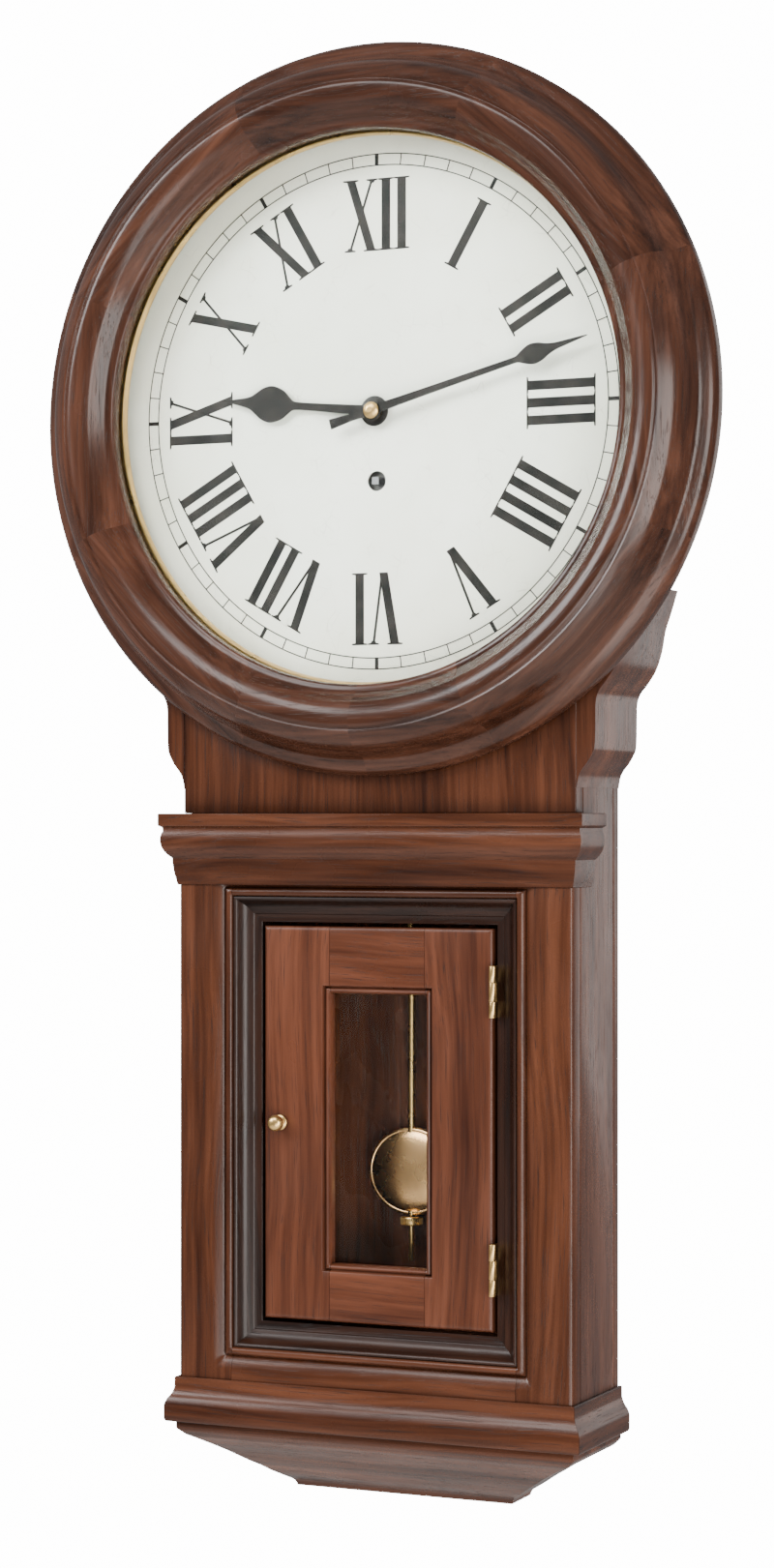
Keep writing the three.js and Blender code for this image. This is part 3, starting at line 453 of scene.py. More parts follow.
def screws(name, places, facing, radius, depth, material, body):
    dots = bpy.data.meshes.new(name)
    dots.from_pydata(places, [], [])
    piece = grown(name, dots, SCREWS, SCREW_IDS, {
        "Head Radius": radius, "Head Depth": depth, "Facing": FACING[facing], "Material": material})
    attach(piece, body)
    return piece


SCREW_INSET = 0.005
low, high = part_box("hanger_plate")
corners = [(x, -0.0003, z) for x in (low.x + SCREW_INSET, high.x - SCREW_INSET)
           for z in (low.z + SCREW_INSET, high.z - SCREW_INSET)]
screws("hanger_screws", corners, "+Y", 0.0026, 0.0006, steel, "case")
BACK_HEADS_Y, SIDE_SCREW_TOP, SIDE_SCREW_STEP, DRUM_SCREWS_R = -0.0004, -0.2, 0.066, 0.159
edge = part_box("trunk_side_right")[1].x - SCREW_INSET
back_places = [(side * edge, BACK_HEADS_Y, SIDE_SCREW_TOP - SIDE_SCREW_STEP * i)
               for side in (-1, 1) for i in range(6)]
for i in range(8):
    turn = math.radians(22.5 + 45 * i)
    if math.sin(turn) > -0.7:
        back_places.append((DRUM_SCREWS_R * math.cos(turn), BACK_HEADS_Y, DRUM_SCREWS_R * math.sin(turn)))
screws("back_board_screws", back_places, "+Y", 0.0032, 0.0008, steel, "case")


# ---- Head drum --------------------------------------------------------------------------------------
# The deep mahogany ring that carries dial and bezel, bored right through and cut away at the bottom
# where the pendulum hangs down. Turned from eight segments, so its grain runs round in short lengths.
def turned(name, profile, steps=160, axis="Y", centre=(0.0, 0.0, 0.0)):
    """A closed profile of (radius, height along the axis) turned right round."""
    points, faces = [], []
    count = len(profile)
    for i in range(steps):
        turn = 2 * math.pi * i / steps
        for radius, height in profile:
            a, b = radius * math.cos(turn), radius * math.sin(turn)
            points.append((centre[0] + a, centre[1] + height, centre[2] + b) if axis == "Y"
                          else (centre[0] + a, centre[1] + b, centre[2] + height))
    for i in range(steps):
        here, there = i * count, (i + 1) % steps * count
        for j in range(count):
            k = (j + 1) % count
            faces.append((here + j, here + k, there + k, there + j))
    return new_piece(name, points, faces)


def rounded(profile, radius, steps=3):
    """Corners of a closed profile taken off by a small curve, as scraper and paper leave them."""
    made = []
    count = len(profile)
    for i in range(count):
        before, corner, after = (Vector(profile[(i + k) % count]) for k in (-1, 0, 1))
        to_before, to_after = before - corner, after - corner
        reach = min(radius, 0.45 * to_before.length, 0.45 * to_after.length)
        if reach < 1e-6 or to_before.angle(to_after) > math.radians(168):
            made.append(tuple(corner))
            continue
        start, end = corner + to_before.normalized() * reach, corner + to_after.normalized() * reach
        for k in range(steps + 1):
            t = k / steps
            made.append(tuple((1 - t) ** 2 * start + 2 * t * (1 - t) * corner + t * t * end))
    return made


def block(name, low, high):
    x, y, z = zip(low, high)
    points = [(x[i], y[j], z[k]) for i in (0, 1) for j in (0, 1) for k in (0, 1)]
    return new_piece(name, points, [
        (0, 1, 3, 2), (4, 6, 7, 5), (0, 4, 5, 1), (2, 3, 7, 6), (0, 2, 6, 4), (1, 5, 7, 3)])


def plain_mesh(piece):
    """The piece with its modifiers worked into its mesh."""
    mesh = evaluated_mesh(piece, piece.name)
    piece.modifiers.clear()
    piece.data = mesh
    return piece


def crisp(piece, angle):
    """Smooth faces, with every edge over the angle kept sharp."""
    piece.data.shade_smooth()
    piece.data.set_sharp_from_angle(angle=math.radians(angle))
    return piece


def cut_by(piece, cutter):
    tool = piece.modifiers.new("cut", "BOOLEAN")
    tool.operation = "DIFFERENCE"
    tool.solver = "EXACT"
    tool.object = cutter
    plain_mesh(piece)
    bpy.data.objects.remove(cutter)
    return piece


DRUM_R, DRUM_BORE, DRUM_BACK, DRUM_FRONT = 0.1718, 0.1462, -0.0092, -0.0658
drum = turned("head_drum_turned", rounded([
    (DRUM_R, DRUM_BACK), (DRUM_BORE, DRUM_BACK), (DRUM_BORE, -0.0618), (0.158, -0.0618),
    (0.158, DRUM_FRONT), (DRUM_R, DRUM_FRONT)], 0.0008), 176)
cut_by(drum, block("slot", (-0.06, -0.0452, -0.2), (0.06, 0.01, -0.1)))
crisp(drum, 40)
standing_for(drum, case_wood("ring"), "head_drum")


# ---- Ears and neck board ----------------------------------------------------------------------------
# Scrolled brackets that run from the drum down to the trunk shelf, and the board between them that
# fills the neck under the drum. Solid mahogany, edges softened by generations of dusting.
def smooth_line(points, per_span=6):
    """A Catmull-Rom curve through the given points."""
    ends = [points[0], *points, points[-1]]
    made = []
    for i in range(1, len(ends) - 2):
        a, b, c, d = (Vector(p) for p in ends[i - 1:i + 3])
        for k in range(per_span):
            t = k / per_span
            made.append(tuple(0.5 * (2 * b + (c - a) * t + (2 * a - 5 * b + 4 * c - d) * t ** 2
                                     + (3 * b - a - 3 * c + d) * t ** 3)))
    return made + [tuple(points[-1])]


def slab(name, outline, front, back):
    """An (x, z) outline with a flat front and back; the thickness runs along Y."""
    count = len(outline)
    points = [(x, front, z) for x, z in outline] + [(x, back, z) for x, z in outline]
    faces = [tuple(range(count)), tuple(range(2 * count - 1, count - 1, -1))]
    faces += [(i, (i + 1) % count, count + (i + 1) % count, count + i) for i in range(count)]
    return new_piece(name, points, faces)


EDGE_X = 0.1175
HAIR = 0.0001  # kept inside the frame's own faces
EAR = [(0.0345, -0.0985), (0.0308, -0.1105), (0.0275, -0.1205), (0.0255, -0.1315), (0.0222, -0.1415),
       (0.0175, -0.149), (0.0128, -0.155), (0.011, -0.161), (0.0108, -0.17), (0.0104, -0.184),
       (0.0085, -0.189), (0.0065, -0.1925), (0.0018, -0.199), (0.0001, -0.2065)]
EAR_DRUM_R = 0.1708
for side, name in ((-1, "ear_left"), (1, "ear_right")):
    outer = smooth_line([(EDGE_X + w, z) for w, z in EAR], 5)
    low_turn, high_turn = -math.acos((EDGE_X + HAIR) / EAR_DRUM_R), math.asin(EAR[0][1] / EAR_DRUM_R)
    inner = [low_turn + (high_turn - low_turn) * i / 12 for i in range(13)]
    outline = outer + [(EAR_DRUM_R * math.cos(turn), EAR_DRUM_R * math.sin(turn)) for turn in inner]
    ear = slab(f"{name}_sawn", [(side * x, z) for x, z in outline], -0.0658, -0.0002)
    eased(ear, 0.0011, 3, 50)
    standing_for(ear, case_wood("Z"), name)
standing_for(eased_copy("neck_board", "neck_board_fitted", 0.0006), case_wood("Z"), "neck_board")


# ---- Trunk sides ------------------------------------------------------------------------------------
# Two plain mahogany boards planed to one thickness, running from the neck down to the base moulding.
# The back board is screwed into their rear edges and the front frame is glued to their front ones.
for node in ("trunk_side_left", "trunk_side_right"):
    standing_for(eased_copy(node, f"{node}_planed", 0.0012, 3), case_wood("Z"), node)


# ---- Trunk front frame ------------------------------------------------------------------------------
# Two stiles and two rails, mortised together. A soft ogee is run round the inside of the opening, and
# the outer corners are rounded over where hands and dusters have passed.
def board(name, xs, zs, back, front):
    """A board given by a grid of front depths: front(x, z) is where its face lies at each grid point."""
    columns, rows = len(xs), len(zs)
    points = [(x, front(x, z), z) for z in zs for x in xs] + [(x, back, z) for z in zs for x in xs]
    lift = columns * rows
    faces = []
    for r in range(rows - 1):
        for c in range(columns - 1):
            a = r * columns + c
            faces.append((a, a + 1, a + columns + 1, a + columns))
            faces.append((lift + a, lift + a + columns, lift + a + columns + 1, lift + a + 1))
    rim = list(range(columns)) + [r * columns + columns - 1 for r in range(1, rows)]
    rim += [(rows - 1) * columns + c for c in range(columns - 2, -1, -1)]
    rim += [r * columns for r in range(rows - 2, 0, -1)]
    for i, a in enumerate(rim):
        b = rim[(i + 1) % len(rim)]
        faces.append((b, a, lift + a, lift + b))
    piece = new_piece(name, points, faces)
    return crisp(piece, 35)


def spaced(start, end, fine_start=(), fine_end=(), steps=8):
    """Grid lines from start to end, with extra ones at the given distances in from either end."""
    way = 1 if end > start else -1
    lines = {round(start + (end - start) * i / steps, 6) for i in range(steps + 1)}
    lines |= {round(start + way * d, 6) for d in fine_start}
    lines |= {round(end - way * d, 6) for d in fine_end}
    return sorted(lines)


def fall(distance, curve):
    """Depth below the face at a distance from the moulded edge, read off a list of (distance, depth)."""
    for (d0, f0), (d1, f1) in zip(curve, curve[1:]):
        if distance <= d1:
            t = max(0.0, distance - d0) / (d1 - d0)
            return f0 + (f1 - f0) * t
    return 0.0


OPEN_X, OPEN_TOP, OPEN_BOTTOM = 0.085, -0.266, -0.517
FRAME_FRONT, FRAME_BACK = -0.0719, -0.0601
# The run moulding, as distance from the opening and drop from the face: a quirk, a half round, a fillet.
RUN = [(0.0, 0.0022), (0.0006, 0.0012), (0.0014, 0.0006), (0.0026, 0.0005), (0.0036, 0.001),
       (0.0044, 0.0022), (0.005, 0.0034), (0.0058, 0.0026), (0.0072, 0.0016), (0.009, 0.0008),
       (0.011, 0.0002), (0.012, 0.0)]
RUN_LINES = [d for d, _ in RUN]
WORN = [(0.0, 0.0014), (0.0003, 0.0009), (0.0008, 0.0004), (0.0016, 0.0001), (0.0024, 0.0)]
WORN_LINES = [d for d, _ in WORN]


def opening_distance(x, z):
    return max(abs(x) - OPEN_X, z - OPEN_TOP, OPEN_BOTTOM - z)


def frame_face(x, z):
    edge = fall(EDGE_X - abs(x), WORN)
    return FRAME_FRONT + fall(max(0.0, opening_distance(x, z)), RUN) + edge


for side, name in ((-1, "frame_stile_left"), (1, "frame_stile_right")):
    low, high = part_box(name)
    fine = (WORN_LINES, RUN_LINES) if side < 0 else (RUN_LINES, WORN_LINES)
    xs = spaced(low.x + HAIR, high.x - HAIR, *fine, 6)
    zs = set(spaced(low.z + HAIR, high.z - HAIR, steps=24))
    for d in RUN_LINES:
        zs |= {round(OPEN_TOP + d, 6), round(OPEN_BOTTOM - d, 6)}
    zs = sorted(z for z in zs if low.z < z < high.z)
    standing_for(board(f"{name}_moulded", xs, zs, FRAME_BACK, frame_face), case_wood("Z"), name)
for name, fine in (("frame_rail_top", (RUN_LINES, ())), ("frame_rail_bottom", ((), RUN_LINES))):
    low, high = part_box(name)
    xs = spaced(low.x + HAIR, high.x - HAIR, steps=18)
    zs = spaced(low.z + HAIR, high.z - HAIR, *fine, 5)
    standing_for(board(f"{name}_moulded", xs, zs, FRAME_BACK, frame_face), case_wood("X"), name)


# ---- Moulding round the recess ----------------------------------------------------------------------
# Four mitred lengths of hollow moulding that step the opening down to the door: a bead at the frame,
# then a cove, then a flat against which the door closes. Stained nearly black under the polish; the
# near-black also paints in the shade that fills the recess.
def bar_between(name, end_a, end_b):
    """Two end sections of as many points each, joined into one closed length."""
    count = len(end_a)
    faces = [(j, (j + 1) % count, count + (j + 1) % count, count + j) for j in range(count)]
    faces += [tuple(range(count)), tuple(range(2 * count - 1, count - 1, -1))]
    return new_piece(name, end_a + end_b, faces)


def run_of(name, section, corners, inward):
    """A section of (inset, y) swept between two corners in the XZ plane, mitred at 45 degrees."""
    (xa, za), (xb, zb) = corners
    along = Vector((xb - xa, zb - za)).normalized()
    ends = [[(x + inward[0] * inset + sign * along.x * inset, y,
              z + inward[1] * inset + sign * along.y * inset)
             for inset, y in section] for x, z, sign in ((xa, za, 1), (xb, zb, -1))]
    return crisp(bar_between(name, *ends), 32)


def stain_and_shade_wood(lay):
    # Near-black stain colours, dark enough to paint in the shade of the recess as well.
    deep, middle, light = (0.006, 0.0022, 0.0012), (0.017, 0.0058, 0.003), (0.036, 0.013, 0.0065)
    return polished_wood("ebonised_cove", deep, middle, light, lay, (0.24, 0.4), (1.1, 2.3, 0.5))


COVE = [(0.0004, -0.0698), (0.0012, -0.07), (0.0019, -0.0697), (0.0024, -0.069), (0.003, -0.068),
        (0.0036, -0.0669), (0.0043, -0.0659), (0.0053, -0.0649), (0.0065, -0.0641), (0.008, -0.0635),
        (0.0092, -0.06325), (0.0097, -0.0628), (0.0101, -0.0622), (0.0106, -0.062), (0.0142, -0.062),
        (0.0144, -0.0618), (0.0144, -0.0502), (0.0004, -0.0502)]
for name, corners, inward, lay in (
        ("recess_cove_top", ((-OPEN_X, OPEN_TOP), (OPEN_X, OPEN_TOP)), (0, -1), "X"),
        ("recess_cove_bottom", ((-OPEN_X, OPEN_BOTTOM), (OPEN_X, OPEN_BOTTOM)), (0, 1), "X"),
        ("recess_cove_left", ((-OPEN_X, OPEN_TOP), (-OPEN_X, OPEN_BOTTOM)), (1, 0), "Z"),
        ("recess_cove_right", ((OPEN_X, OPEN_TOP), (OPEN_X, OPEN_BOTTOM)), (-1, 0), "Z")):
    standing_for(run_of(f"{name}_run", COVE, corners, inward), stain_and_shade_wood(lay), name)


# ---- Shelf and base mouldings -----------------------------------------------------------------------
# The shelf that ends the head and starts the trunk, wrapped round the front with short returns, and
# the base moulding, mitred round all three sides. Both cut from one length of mahogany each.
TRUNK_FRONT = 0.072


def wrapped(name, section, reach):
    """A section of (overhang, z) carried along the right side, the front and the left side of the trunk."""
    points, faces = [], []
    count = len(section)
    stops = [(1, reach, True), (1, None, False), (-1, None, False), (-1, reach, True)]
    for side, back, at_wall in stops:
        for over, z in section:
            y = back if at_wall else -TRUNK_FRONT - over
            points.append((side * (EDGE_X + over), y, z))
    for k in range(len(stops) - 1):
        for j in range(count):
            n = (j + 1) % count
            faces.append((k * count + j, k * count + n, (k + 1) * count + n, (k + 1) * count + j))
    last = (len(stops) - 1) * count
    faces += [tuple(range(count)), tuple(last + j for j in range(count - 1, -1, -1))]
    piece = new_piece(name, points, faces)
    return crisp(piece, 32)


SHELF = [
    (0.0086, -0.2201), (0.009, -0.2206), (0.009, -0.2265), (0.0087, -0.2271), (0.0078, -0.2275),
    (0.007, -0.2281), (0.0069, -0.23), (0.0075, -0.2312), (0.008, -0.2331), (0.0081, -0.2352),
    (0.0078, -0.2375), (0.0071, -0.2398), (0.006, -0.2418), (0.0047, -0.2434), (0.0035, -0.2445),
    (0.0029, -0.2452), (0.0029, -0.2475), (0.0026, -0.2495), (0.0021, -0.2535), (0.0013, -0.257),
    (0.0008, -0.2596), (0.0003, -0.2599), (0.0002, -0.2201)]
standing_for(wrapped("shelf_moulding_run", SHELF, -0.0442), case_wood("X"), "shelf_moulding")

BASE = [
    (0.0003, -0.5352), (0.0016, -0.5352), (0.002, -0.5356), (0.0021, -0.541), (0.0024, -0.5422),
    (0.003, -0.544), (0.0041, -0.5458), (0.0052, -0.5472), (0.0056, -0.5482), (0.0061, -0.5492),
    (0.0065, -0.5508), (0.0065, -0.5582), (0.0062, -0.5592), (0.0055, -0.5599), (0.0003, -0.5599)]
for name, lay in (("base_moulding_front", "X"), ("base_moulding_left", "Y"), ("base_moulding_right", "Y")):
    if name.endswith("front"):
        ends = [[(side * (EDGE_X + o - HAIR), -TRUNK_FRONT - o, z) for o, z in BASE] for side in (1, -1)]
    else:
        side = -1 if name.endswith("left") else 1
        ends = [[(side * (EDGE_X + o), -2 * HAIR, z) for o, z in BASE],
                [(side * (EDGE_X + o), -TRUNK_FRONT - o + HAIR, z) for o, z in BASE]]
    standing_for(crisp(bar_between(f"{name}_run", *ends), 32), case_wood(lay), name)


# ---- Foot -------------------------------------------------------------------------------------------
# A solid mahogany block glued up under the base moulding, which closes the trunk from below. It is
# drawn in on three sides by a long ogee to a small flat end.
FOOT = [
    (0.1186, 0.0731, -0.5601), (0.119, 0.0735, -0.5606), (0.119, 0.0735, -0.5636),
    (0.1186, 0.0731, -0.5646), (0.1172, 0.0717, -0.5659), (0.1147, 0.0694, -0.5682),
    (0.111, 0.0665, -0.57), (0.1065, 0.0636, -0.5722), (0.1013, 0.0592, -0.5751),
    (0.0966, 0.0553, -0.5779), (0.0917, 0.0517, -0.5809), (0.0864, 0.0474, -0.5843),
    (0.0814, 0.0429, -0.5873), (0.0768, 0.0389, -0.5905), (0.0727, 0.0346, -0.5932),
    (0.0697, 0.0315, -0.5951), (0.0679, 0.0299, -0.5961), (0.0668, 0.0287, -0.5971),
    (0.066, 0.028, -0.5985), (0.0657, 0.0277, -0.5996), (0.0652, 0.0272, -0.6)]


def foot_block():
    points = []
    for half, depth, z in FOOT:
        points += [(half, -2 * HAIR, z), (half, -depth, z), (-half, -depth, z), (-half, -2 * HAIR, z)]
    faces = [(0, 1, 2, 3)]
    for k in range(len(FOOT) - 1):
        a, b = 4 * k, 4 * k + 4
        faces += [(a + i, a + (i + 1) % 4, b + (i + 1) % 4, b + i) for i in range(4)]
    faces.append(tuple(4 * len(FOOT) - 4 + i for i in (3, 2, 1, 0)))
    return eased(new_piece("foot_shaped", points, faces), 0.0006, 2, 40)


standing_for(foot_block(), case_wood("X"), "foot")


# ---- Trunk door -------------------------------------------------------------------------------------
# A small framed door in plainer mahogany with a tall window. Stiles run through, the outer arris is
# softened and a narrow bead is worked round the glass, which sits in a rebate behind it.
def door_wood(lay):
    deep, middle, light = (0.034, 0.0092, 0.0045), (0.08, 0.0245, 0.0115), (0.134, 0.044, 0.0225)
    return polished_wood("door_mahogany", deep, middle, light, lay, (0.26, 0.42), (3.1, 0.7, 0.2))


DOOR_X, DOOR_TOP, DOOR_BOTTOM = 0.0685, -0.2825, -0.5005
LIGHT_X, LIGHT_TOP, LIGHT_BOTTOM = 0.0285, -0.3195, -0.4685
DOOR_FRONT, DOOR_BACK = -0.0639, -0.0521
BEAD = [(0.0, 0.0045), (0.0004, 0.0024), (0.001, 0.0013), (0.0018, 0.0009), (0.0026, 0.0012),
        (0.0032, 0.0021), (0.0035, 0.0028), (0.0039, 0.0012), (0.0043, 0.0003), (0.0048, 0.0)]
ARRIS = [(0.0, 0.0016), (0.0004, 0.0009), (0.001, 0.0004), (0.0018, 0.0001), (0.0026, 0.0)]
BEAD_LINES, ARRIS_LINES = [d for d, _ in BEAD], [d for d, _ in ARRIS]


def door_face(x, z):
    inside = max(abs(x) - LIGHT_X, z - LIGHT_TOP, LIGHT_BOTTOM - z)
    outside = min(DOOR_X - abs(x), DOOR_TOP - z, z - DOOR_BOTTOM)
    return DOOR_FRONT + fall(max(0.0, inside), BEAD) + fall(max(0.0, outside), ARRIS)


REBATE = 0.003 + HAIR
REBATE_FRONT, REBATE_BACK = -0.0562, -0.05
PAST_EDGE = 0.01
for side, name in ((-1, "door_stile_left"), (1, "door_stile_right")):
    xs = spaced(side * (DOOR_X - HAIR), side * (LIGHT_X + HAIR), ARRIS_LINES, BEAD_LINES, 8)
    zs = set(spaced(DOOR_BOTTOM + HAIR, DOOR_TOP - HAIR, ARRIS_LINES, ARRIS_LINES, 22))
    zs |= {round(LIGHT_TOP + d, 6) for d in BEAD_LINES} | {round(LIGHT_BOTTOM - d, 6) for d in BEAD_LINES}
    stile = board(f"{name}_beaded", xs, sorted(zs), DOOR_BACK, door_face)
    groove = sorted((side * (LIGHT_X - PAST_EDGE), side * (LIGHT_X + REBATE)))
    cut_by(stile, block("rebate", (groove[0], REBATE_FRONT, LIGHT_BOTTOM - REBATE),
                        (groove[1], REBATE_BACK, LIGHT_TOP + REBATE)))
    standing_for(stile, door_wood("Z"), name)
for name, z0, z1 in (("door_rail_top", LIGHT_TOP, DOOR_TOP), ("door_rail_bottom", LIGHT_BOTTOM, DOOR_BOTTOM)):
    xs = spaced(-LIGHT_X + HAIR, LIGHT_X - HAIR, steps=12)
    up = 1 if z1 > z0 else -1
    fine = (BEAD_LINES, ARRIS_LINES) if up > 0 else (ARRIS_LINES, BEAD_LINES)
    zs = spaced(min(z0, z1) + HAIR, max(z0, z1) - HAIR, *fine, 8)
    rail = board(f"{name}_beaded", xs, zs, DOOR_BACK, door_face)
    groove = sorted((z0 - up * PAST_EDGE, z0 + up * REBATE))
    cut_by(rail, block("rebate", (-0.05, REBATE_FRONT, groove[0]), (0.05, REBATE_BACK, groove[1])))
    standing_for(rail, door_wood("X"), name)


# ---- Glass ------------------------------------------------------------------------------------------
# Thin old window glass, faintly green and not quite flat: a pane let into the trunk door, and a disc
# held by the sight ring behind the bezel.
def window_glass():
    made, tree, shader = new_finish("window_glass")
    shader.inputs["Transmission Weight"].default_value = 1.0
    shader.inputs["IOR"].default_value = 1.2
    place = grain_place(tree, "Z")
    wave = noise(tree, place, 0.5, 14.0, 1.0)
    tint = noise(tree, place, 1.0, 9.0, 1.0)
    smear = noise(tree, place, 0.6, 60.0, 4.0)
    colour = ramp(tree, tint, [(0.3, (0.95, 0.985, 0.965)), (0.7, (0.975, 0.99, 0.98))])
    surfaced(tree, shader, colour, between(tree, smear, 0.45, 0.8, 0.0, 0.06), 0.05, 0.0005, wave)
    clear = add_node(tree, "ShaderNodeBsdfTransparent", {"Color": (0.94, 0.96, 0.95, 1)})
    shadow = add_node(tree, "ShaderNodeLightPath").outputs["Is Shadow Ray"]
    both = add_node(tree, "ShaderNodeMixShader", {0: shadow, 1: shader.outputs[0], 2: clear.outputs[0]})
    tree.links.new(both.outputs[0], tree.nodes["Material Output"].inputs["Surface"])
    return made


glass = window_glass()
standing_for(eased_copy("door_glass", "door_pane", 0.0002), glass, "door_glass")
DISC_R, DISC_SIDES = 0.1522, 128
disc_turns = [2 * math.pi * i / DISC_SIDES for i in range(DISC_SIDES)]
disc = slab("dial_glass_disc", [(DISC_R * math.cos(turn), DISC_R * math.sin(turn)) for turn in disc_turns],
            -0.0812, -0.0792)
standing_for(disc, glass, "dial_glass")


# ---- Bezel ------------------------------------------------------------------------------------------
# The broad turned hoop round the dial: a flat back edge, a wide hollow slope, a half round, a quirk and
# a bead that runs down to the glass. Darker than the case, and glossy where it has been polished.
LATHE_PATH_R = 1e-4


def lathe_tree():
    """Turns a closed outline given as points (radius, depth) in the XY plane round the dial's axis."""
    tree = bpy.data.node_groups.new("lathe", "GeometryNodeTree")
    ids = {"Outline": group_input(tree, "Outline", "NodeSocketGeometry", None)}
    ids["Segments"] = group_input(tree, "Segments", "NodeSocketInt", 240)
    ids["Back"] = group_input(tree, "Back", "NodeSocketFloat", 0.0)
    ids["Material"] = group_input(tree, "Material", "NodeSocketMaterial", None)
    tree.interface.new_socket("Turned", in_out="OUTPUT", socket_type="NodeSocketGeometry")
    given = tree.nodes.new("NodeGroupInput").outputs
    section = add_node(tree, "GeometryNodeMeshToCurve", {"Mesh": given["Outline"]})
    way = add_node(tree, "GeometryNodeCurvePrimitiveCircle", {
        "Resolution": given["Segments"], "Radius": LATHE_PATH_R}, mode="RADIUS")
    upright = add_node(tree, "GeometryNodeTransform", {
        "Geometry": way.outputs["Curve"], "Rotation": (math.radians(90), 0, 0)})
    swept = add_node(tree, "GeometryNodeCurveToMesh", {
        "Curve": upright.outputs[0], "Profile Curve": section.outputs[0], "Fill Caps": False})
    shift = add_node(tree, "ShaderNodeCombineXYZ", {1: given["Back"]})
    placed = add_node(tree, "GeometryNodeTransform", {
        "Geometry": swept.outputs[0], "Translation": shift.outputs[0]})
    kept_plain(tree, placed.outputs[0], given["Material"])
    return tree, ids


def lathed(name, outline, back, segments, material):
    start = bpy.data.meshes.new(name)
    count = len(outline)
    points = [(radius - LATHE_PATH_R, depth, 0) for radius, depth in outline]
    start.from_pydata(points, [(i, (i + 1) % count) for i in range(count)], [])
    tree, ids = lathe_tree()
    piece = grown(name, start, tree, ids, {"Segments": segments, "Back": back, "Material": material})
    closed_up(piece.data)
    return crisp(piece, 38)


BEZEL_BACK = -0.0667
SLOPE = [(0.1998, 0.0062), (0.1993, 0.0078), (0.1972, 0.0106), (0.194, 0.0125), (0.1912, 0.0142),
         (0.1893, 0.0172), (0.1879, 0.0202), (0.1862, 0.0247), (0.1838, 0.0289), (0.1805, 0.032),
         (0.1768, 0.0345)]
CROWN = [(0.1762, 0.0349), (0.1752, 0.0346), (0.1746, 0.0342), (0.1738, 0.0346), (0.1722, 0.0355),
         (0.1698, 0.0357), (0.167, 0.0352), (0.164, 0.034), (0.1612, 0.0322)]
INNER = [(0.1604, 0.0315), (0.1588, 0.0296), (0.1566, 0.0272), (0.1548, 0.0252), (0.1531, 0.0241),
         (0.1518, 0.0236), (0.1508, 0.0229), (0.1503, 0.0218)]
outline = [(0.1531, 0.0002), (0.1993, 0.0002), (0.1998, 0.0008)]
outline += smooth_line(SLOPE, 4) + smooth_line(CROWN, 4) + smooth_line(INNER, 4)
outline += [(0.1502, 0.0156), (0.1504, 0.0153), (0.1529, 0.0153), (0.1531, 0.0151)]
bezel_wood = polished_wood("bezel_mahogany", (0.016, 0.0055, 0.003), (0.046, 0.017, 0.0095),
                           (0.092, 0.036, 0.021), "ring", (0.16, 0.3), (0.4, 1.3, 0))
bezel = lathed("bezel_hoop", [(r, -d) for r, d in outline], BEZEL_BACK, 256, bezel_wood)
standing_for(bezel, bezel_wood, "bezel_ring")


# ---- Sight ring and hinges --------------------------------------------------------------------------
# A spun brass ring holds the glass behind the bezel. Bezel and trunk door each swing on small brass
# butt hinges at the right, cut from plate, held by brass screws and tarnished, with painted shade in their
# corners.
ring = turned("sight_ring_spun", rounded([
    (0.1522, -0.0788), (0.1494, -0.0788), (0.1486, -0.0755), (0.149, -0.0738), (0.1498, -0.0727),
    (0.1522, -0.0727)], 0.0005), 160)
crisp(ring, 45)
standing_for(ring, brass, "sight_ring")
for node in ("bezel_hinge_case", "bezel_hinge_leaf", "door_hinge_case_upper", "door_hinge_case_lower",
             "door_hinge_leaf_upper", "door_hinge_leaf_lower"):
    standing_for(eased_copy(node, f"{node}_filed", 0.0001), brass, node)
PLATE_FACE_X = 0.1745
plate_places = [(PLATE_FACE_X, y, z) for y in (-0.037, -0.052) for z in (-0.012, 0.012)]
screws("bezel_hinge_screws", plate_places, "+X", 0.0024, 0.0008, brass, "case")
DOOR_GAP, LEAF_THICKNESS, LEAF_SCREW_Y = 0.002, 0.0008, -0.0575
leaf_heights = [z + rise for z in (-0.3165, -0.4665) for rise in (-0.0095, 0, 0.0095)]
for name, x, facing, body in (("door_leaf_screws", DOOR_X + LEAF_THICKNESS, "+X", "door"),
                              ("jamb_leaf_screws", DOOR_X + DOOR_GAP - LEAF_THICKNESS, "-X", "case")):
    screws(name, [(x, LEAF_SCREW_Y, z) for z in leaf_heights], facing, 0.0016, 0.0002, brass, body)


# ---- Door turn --------------------------------------------------------------------------------------
# A little turned brass knob on the left stile; its shaft carries a flat tongue that catches behind the
# recess moulding when the knob points the tongue sideways.
def joined(name, *pieces):
    """Several loose shells made one piece."""
    work = bmesh.new()
    for piece in pieces:
        work.from_mesh(piece.data)
        bpy.data.objects.remove(piece)
    mesh = bpy.data.meshes.new(name)
    work.to_mesh(mesh)
    work.free()
    return put(name, mesh)


TURN_AT = (-0.0585, 0, -0.3915)
knob = turned("knob", [
    (0.0, -0.0739), (0.0012, -0.07385), (0.0024, -0.0735), (0.0034, -0.0729), (0.0041, -0.0719),
    (0.0045, -0.0708), (0.0045, -0.0697), (0.0041, -0.0686), (0.0034, -0.0678), (0.0025, -0.0672),
    (0.0021, -0.0667), (0.0022, -0.0661), (0.0029, -0.0657), (0.004, -0.0655), (0.0044, -0.0651),
    (0.0044, -0.0643), (0.002, -0.0643), (0.002, -0.0471), (0.0, -0.0471)], 40, centre=TURN_AT)
tongue = block("tongue", (TURN_AT[0] - 0.0034, -0.0495, TURN_AT[2] - 0.0169),
               (TURN_AT[0] + 0.0034, -0.0477, TURN_AT[2] + 0.0039))
turn_piece = eased(joined("door_turn_brass", knob, tongue), 0.0003, 2, 50)
standing_for(turn_piece, brass, "door_turn")


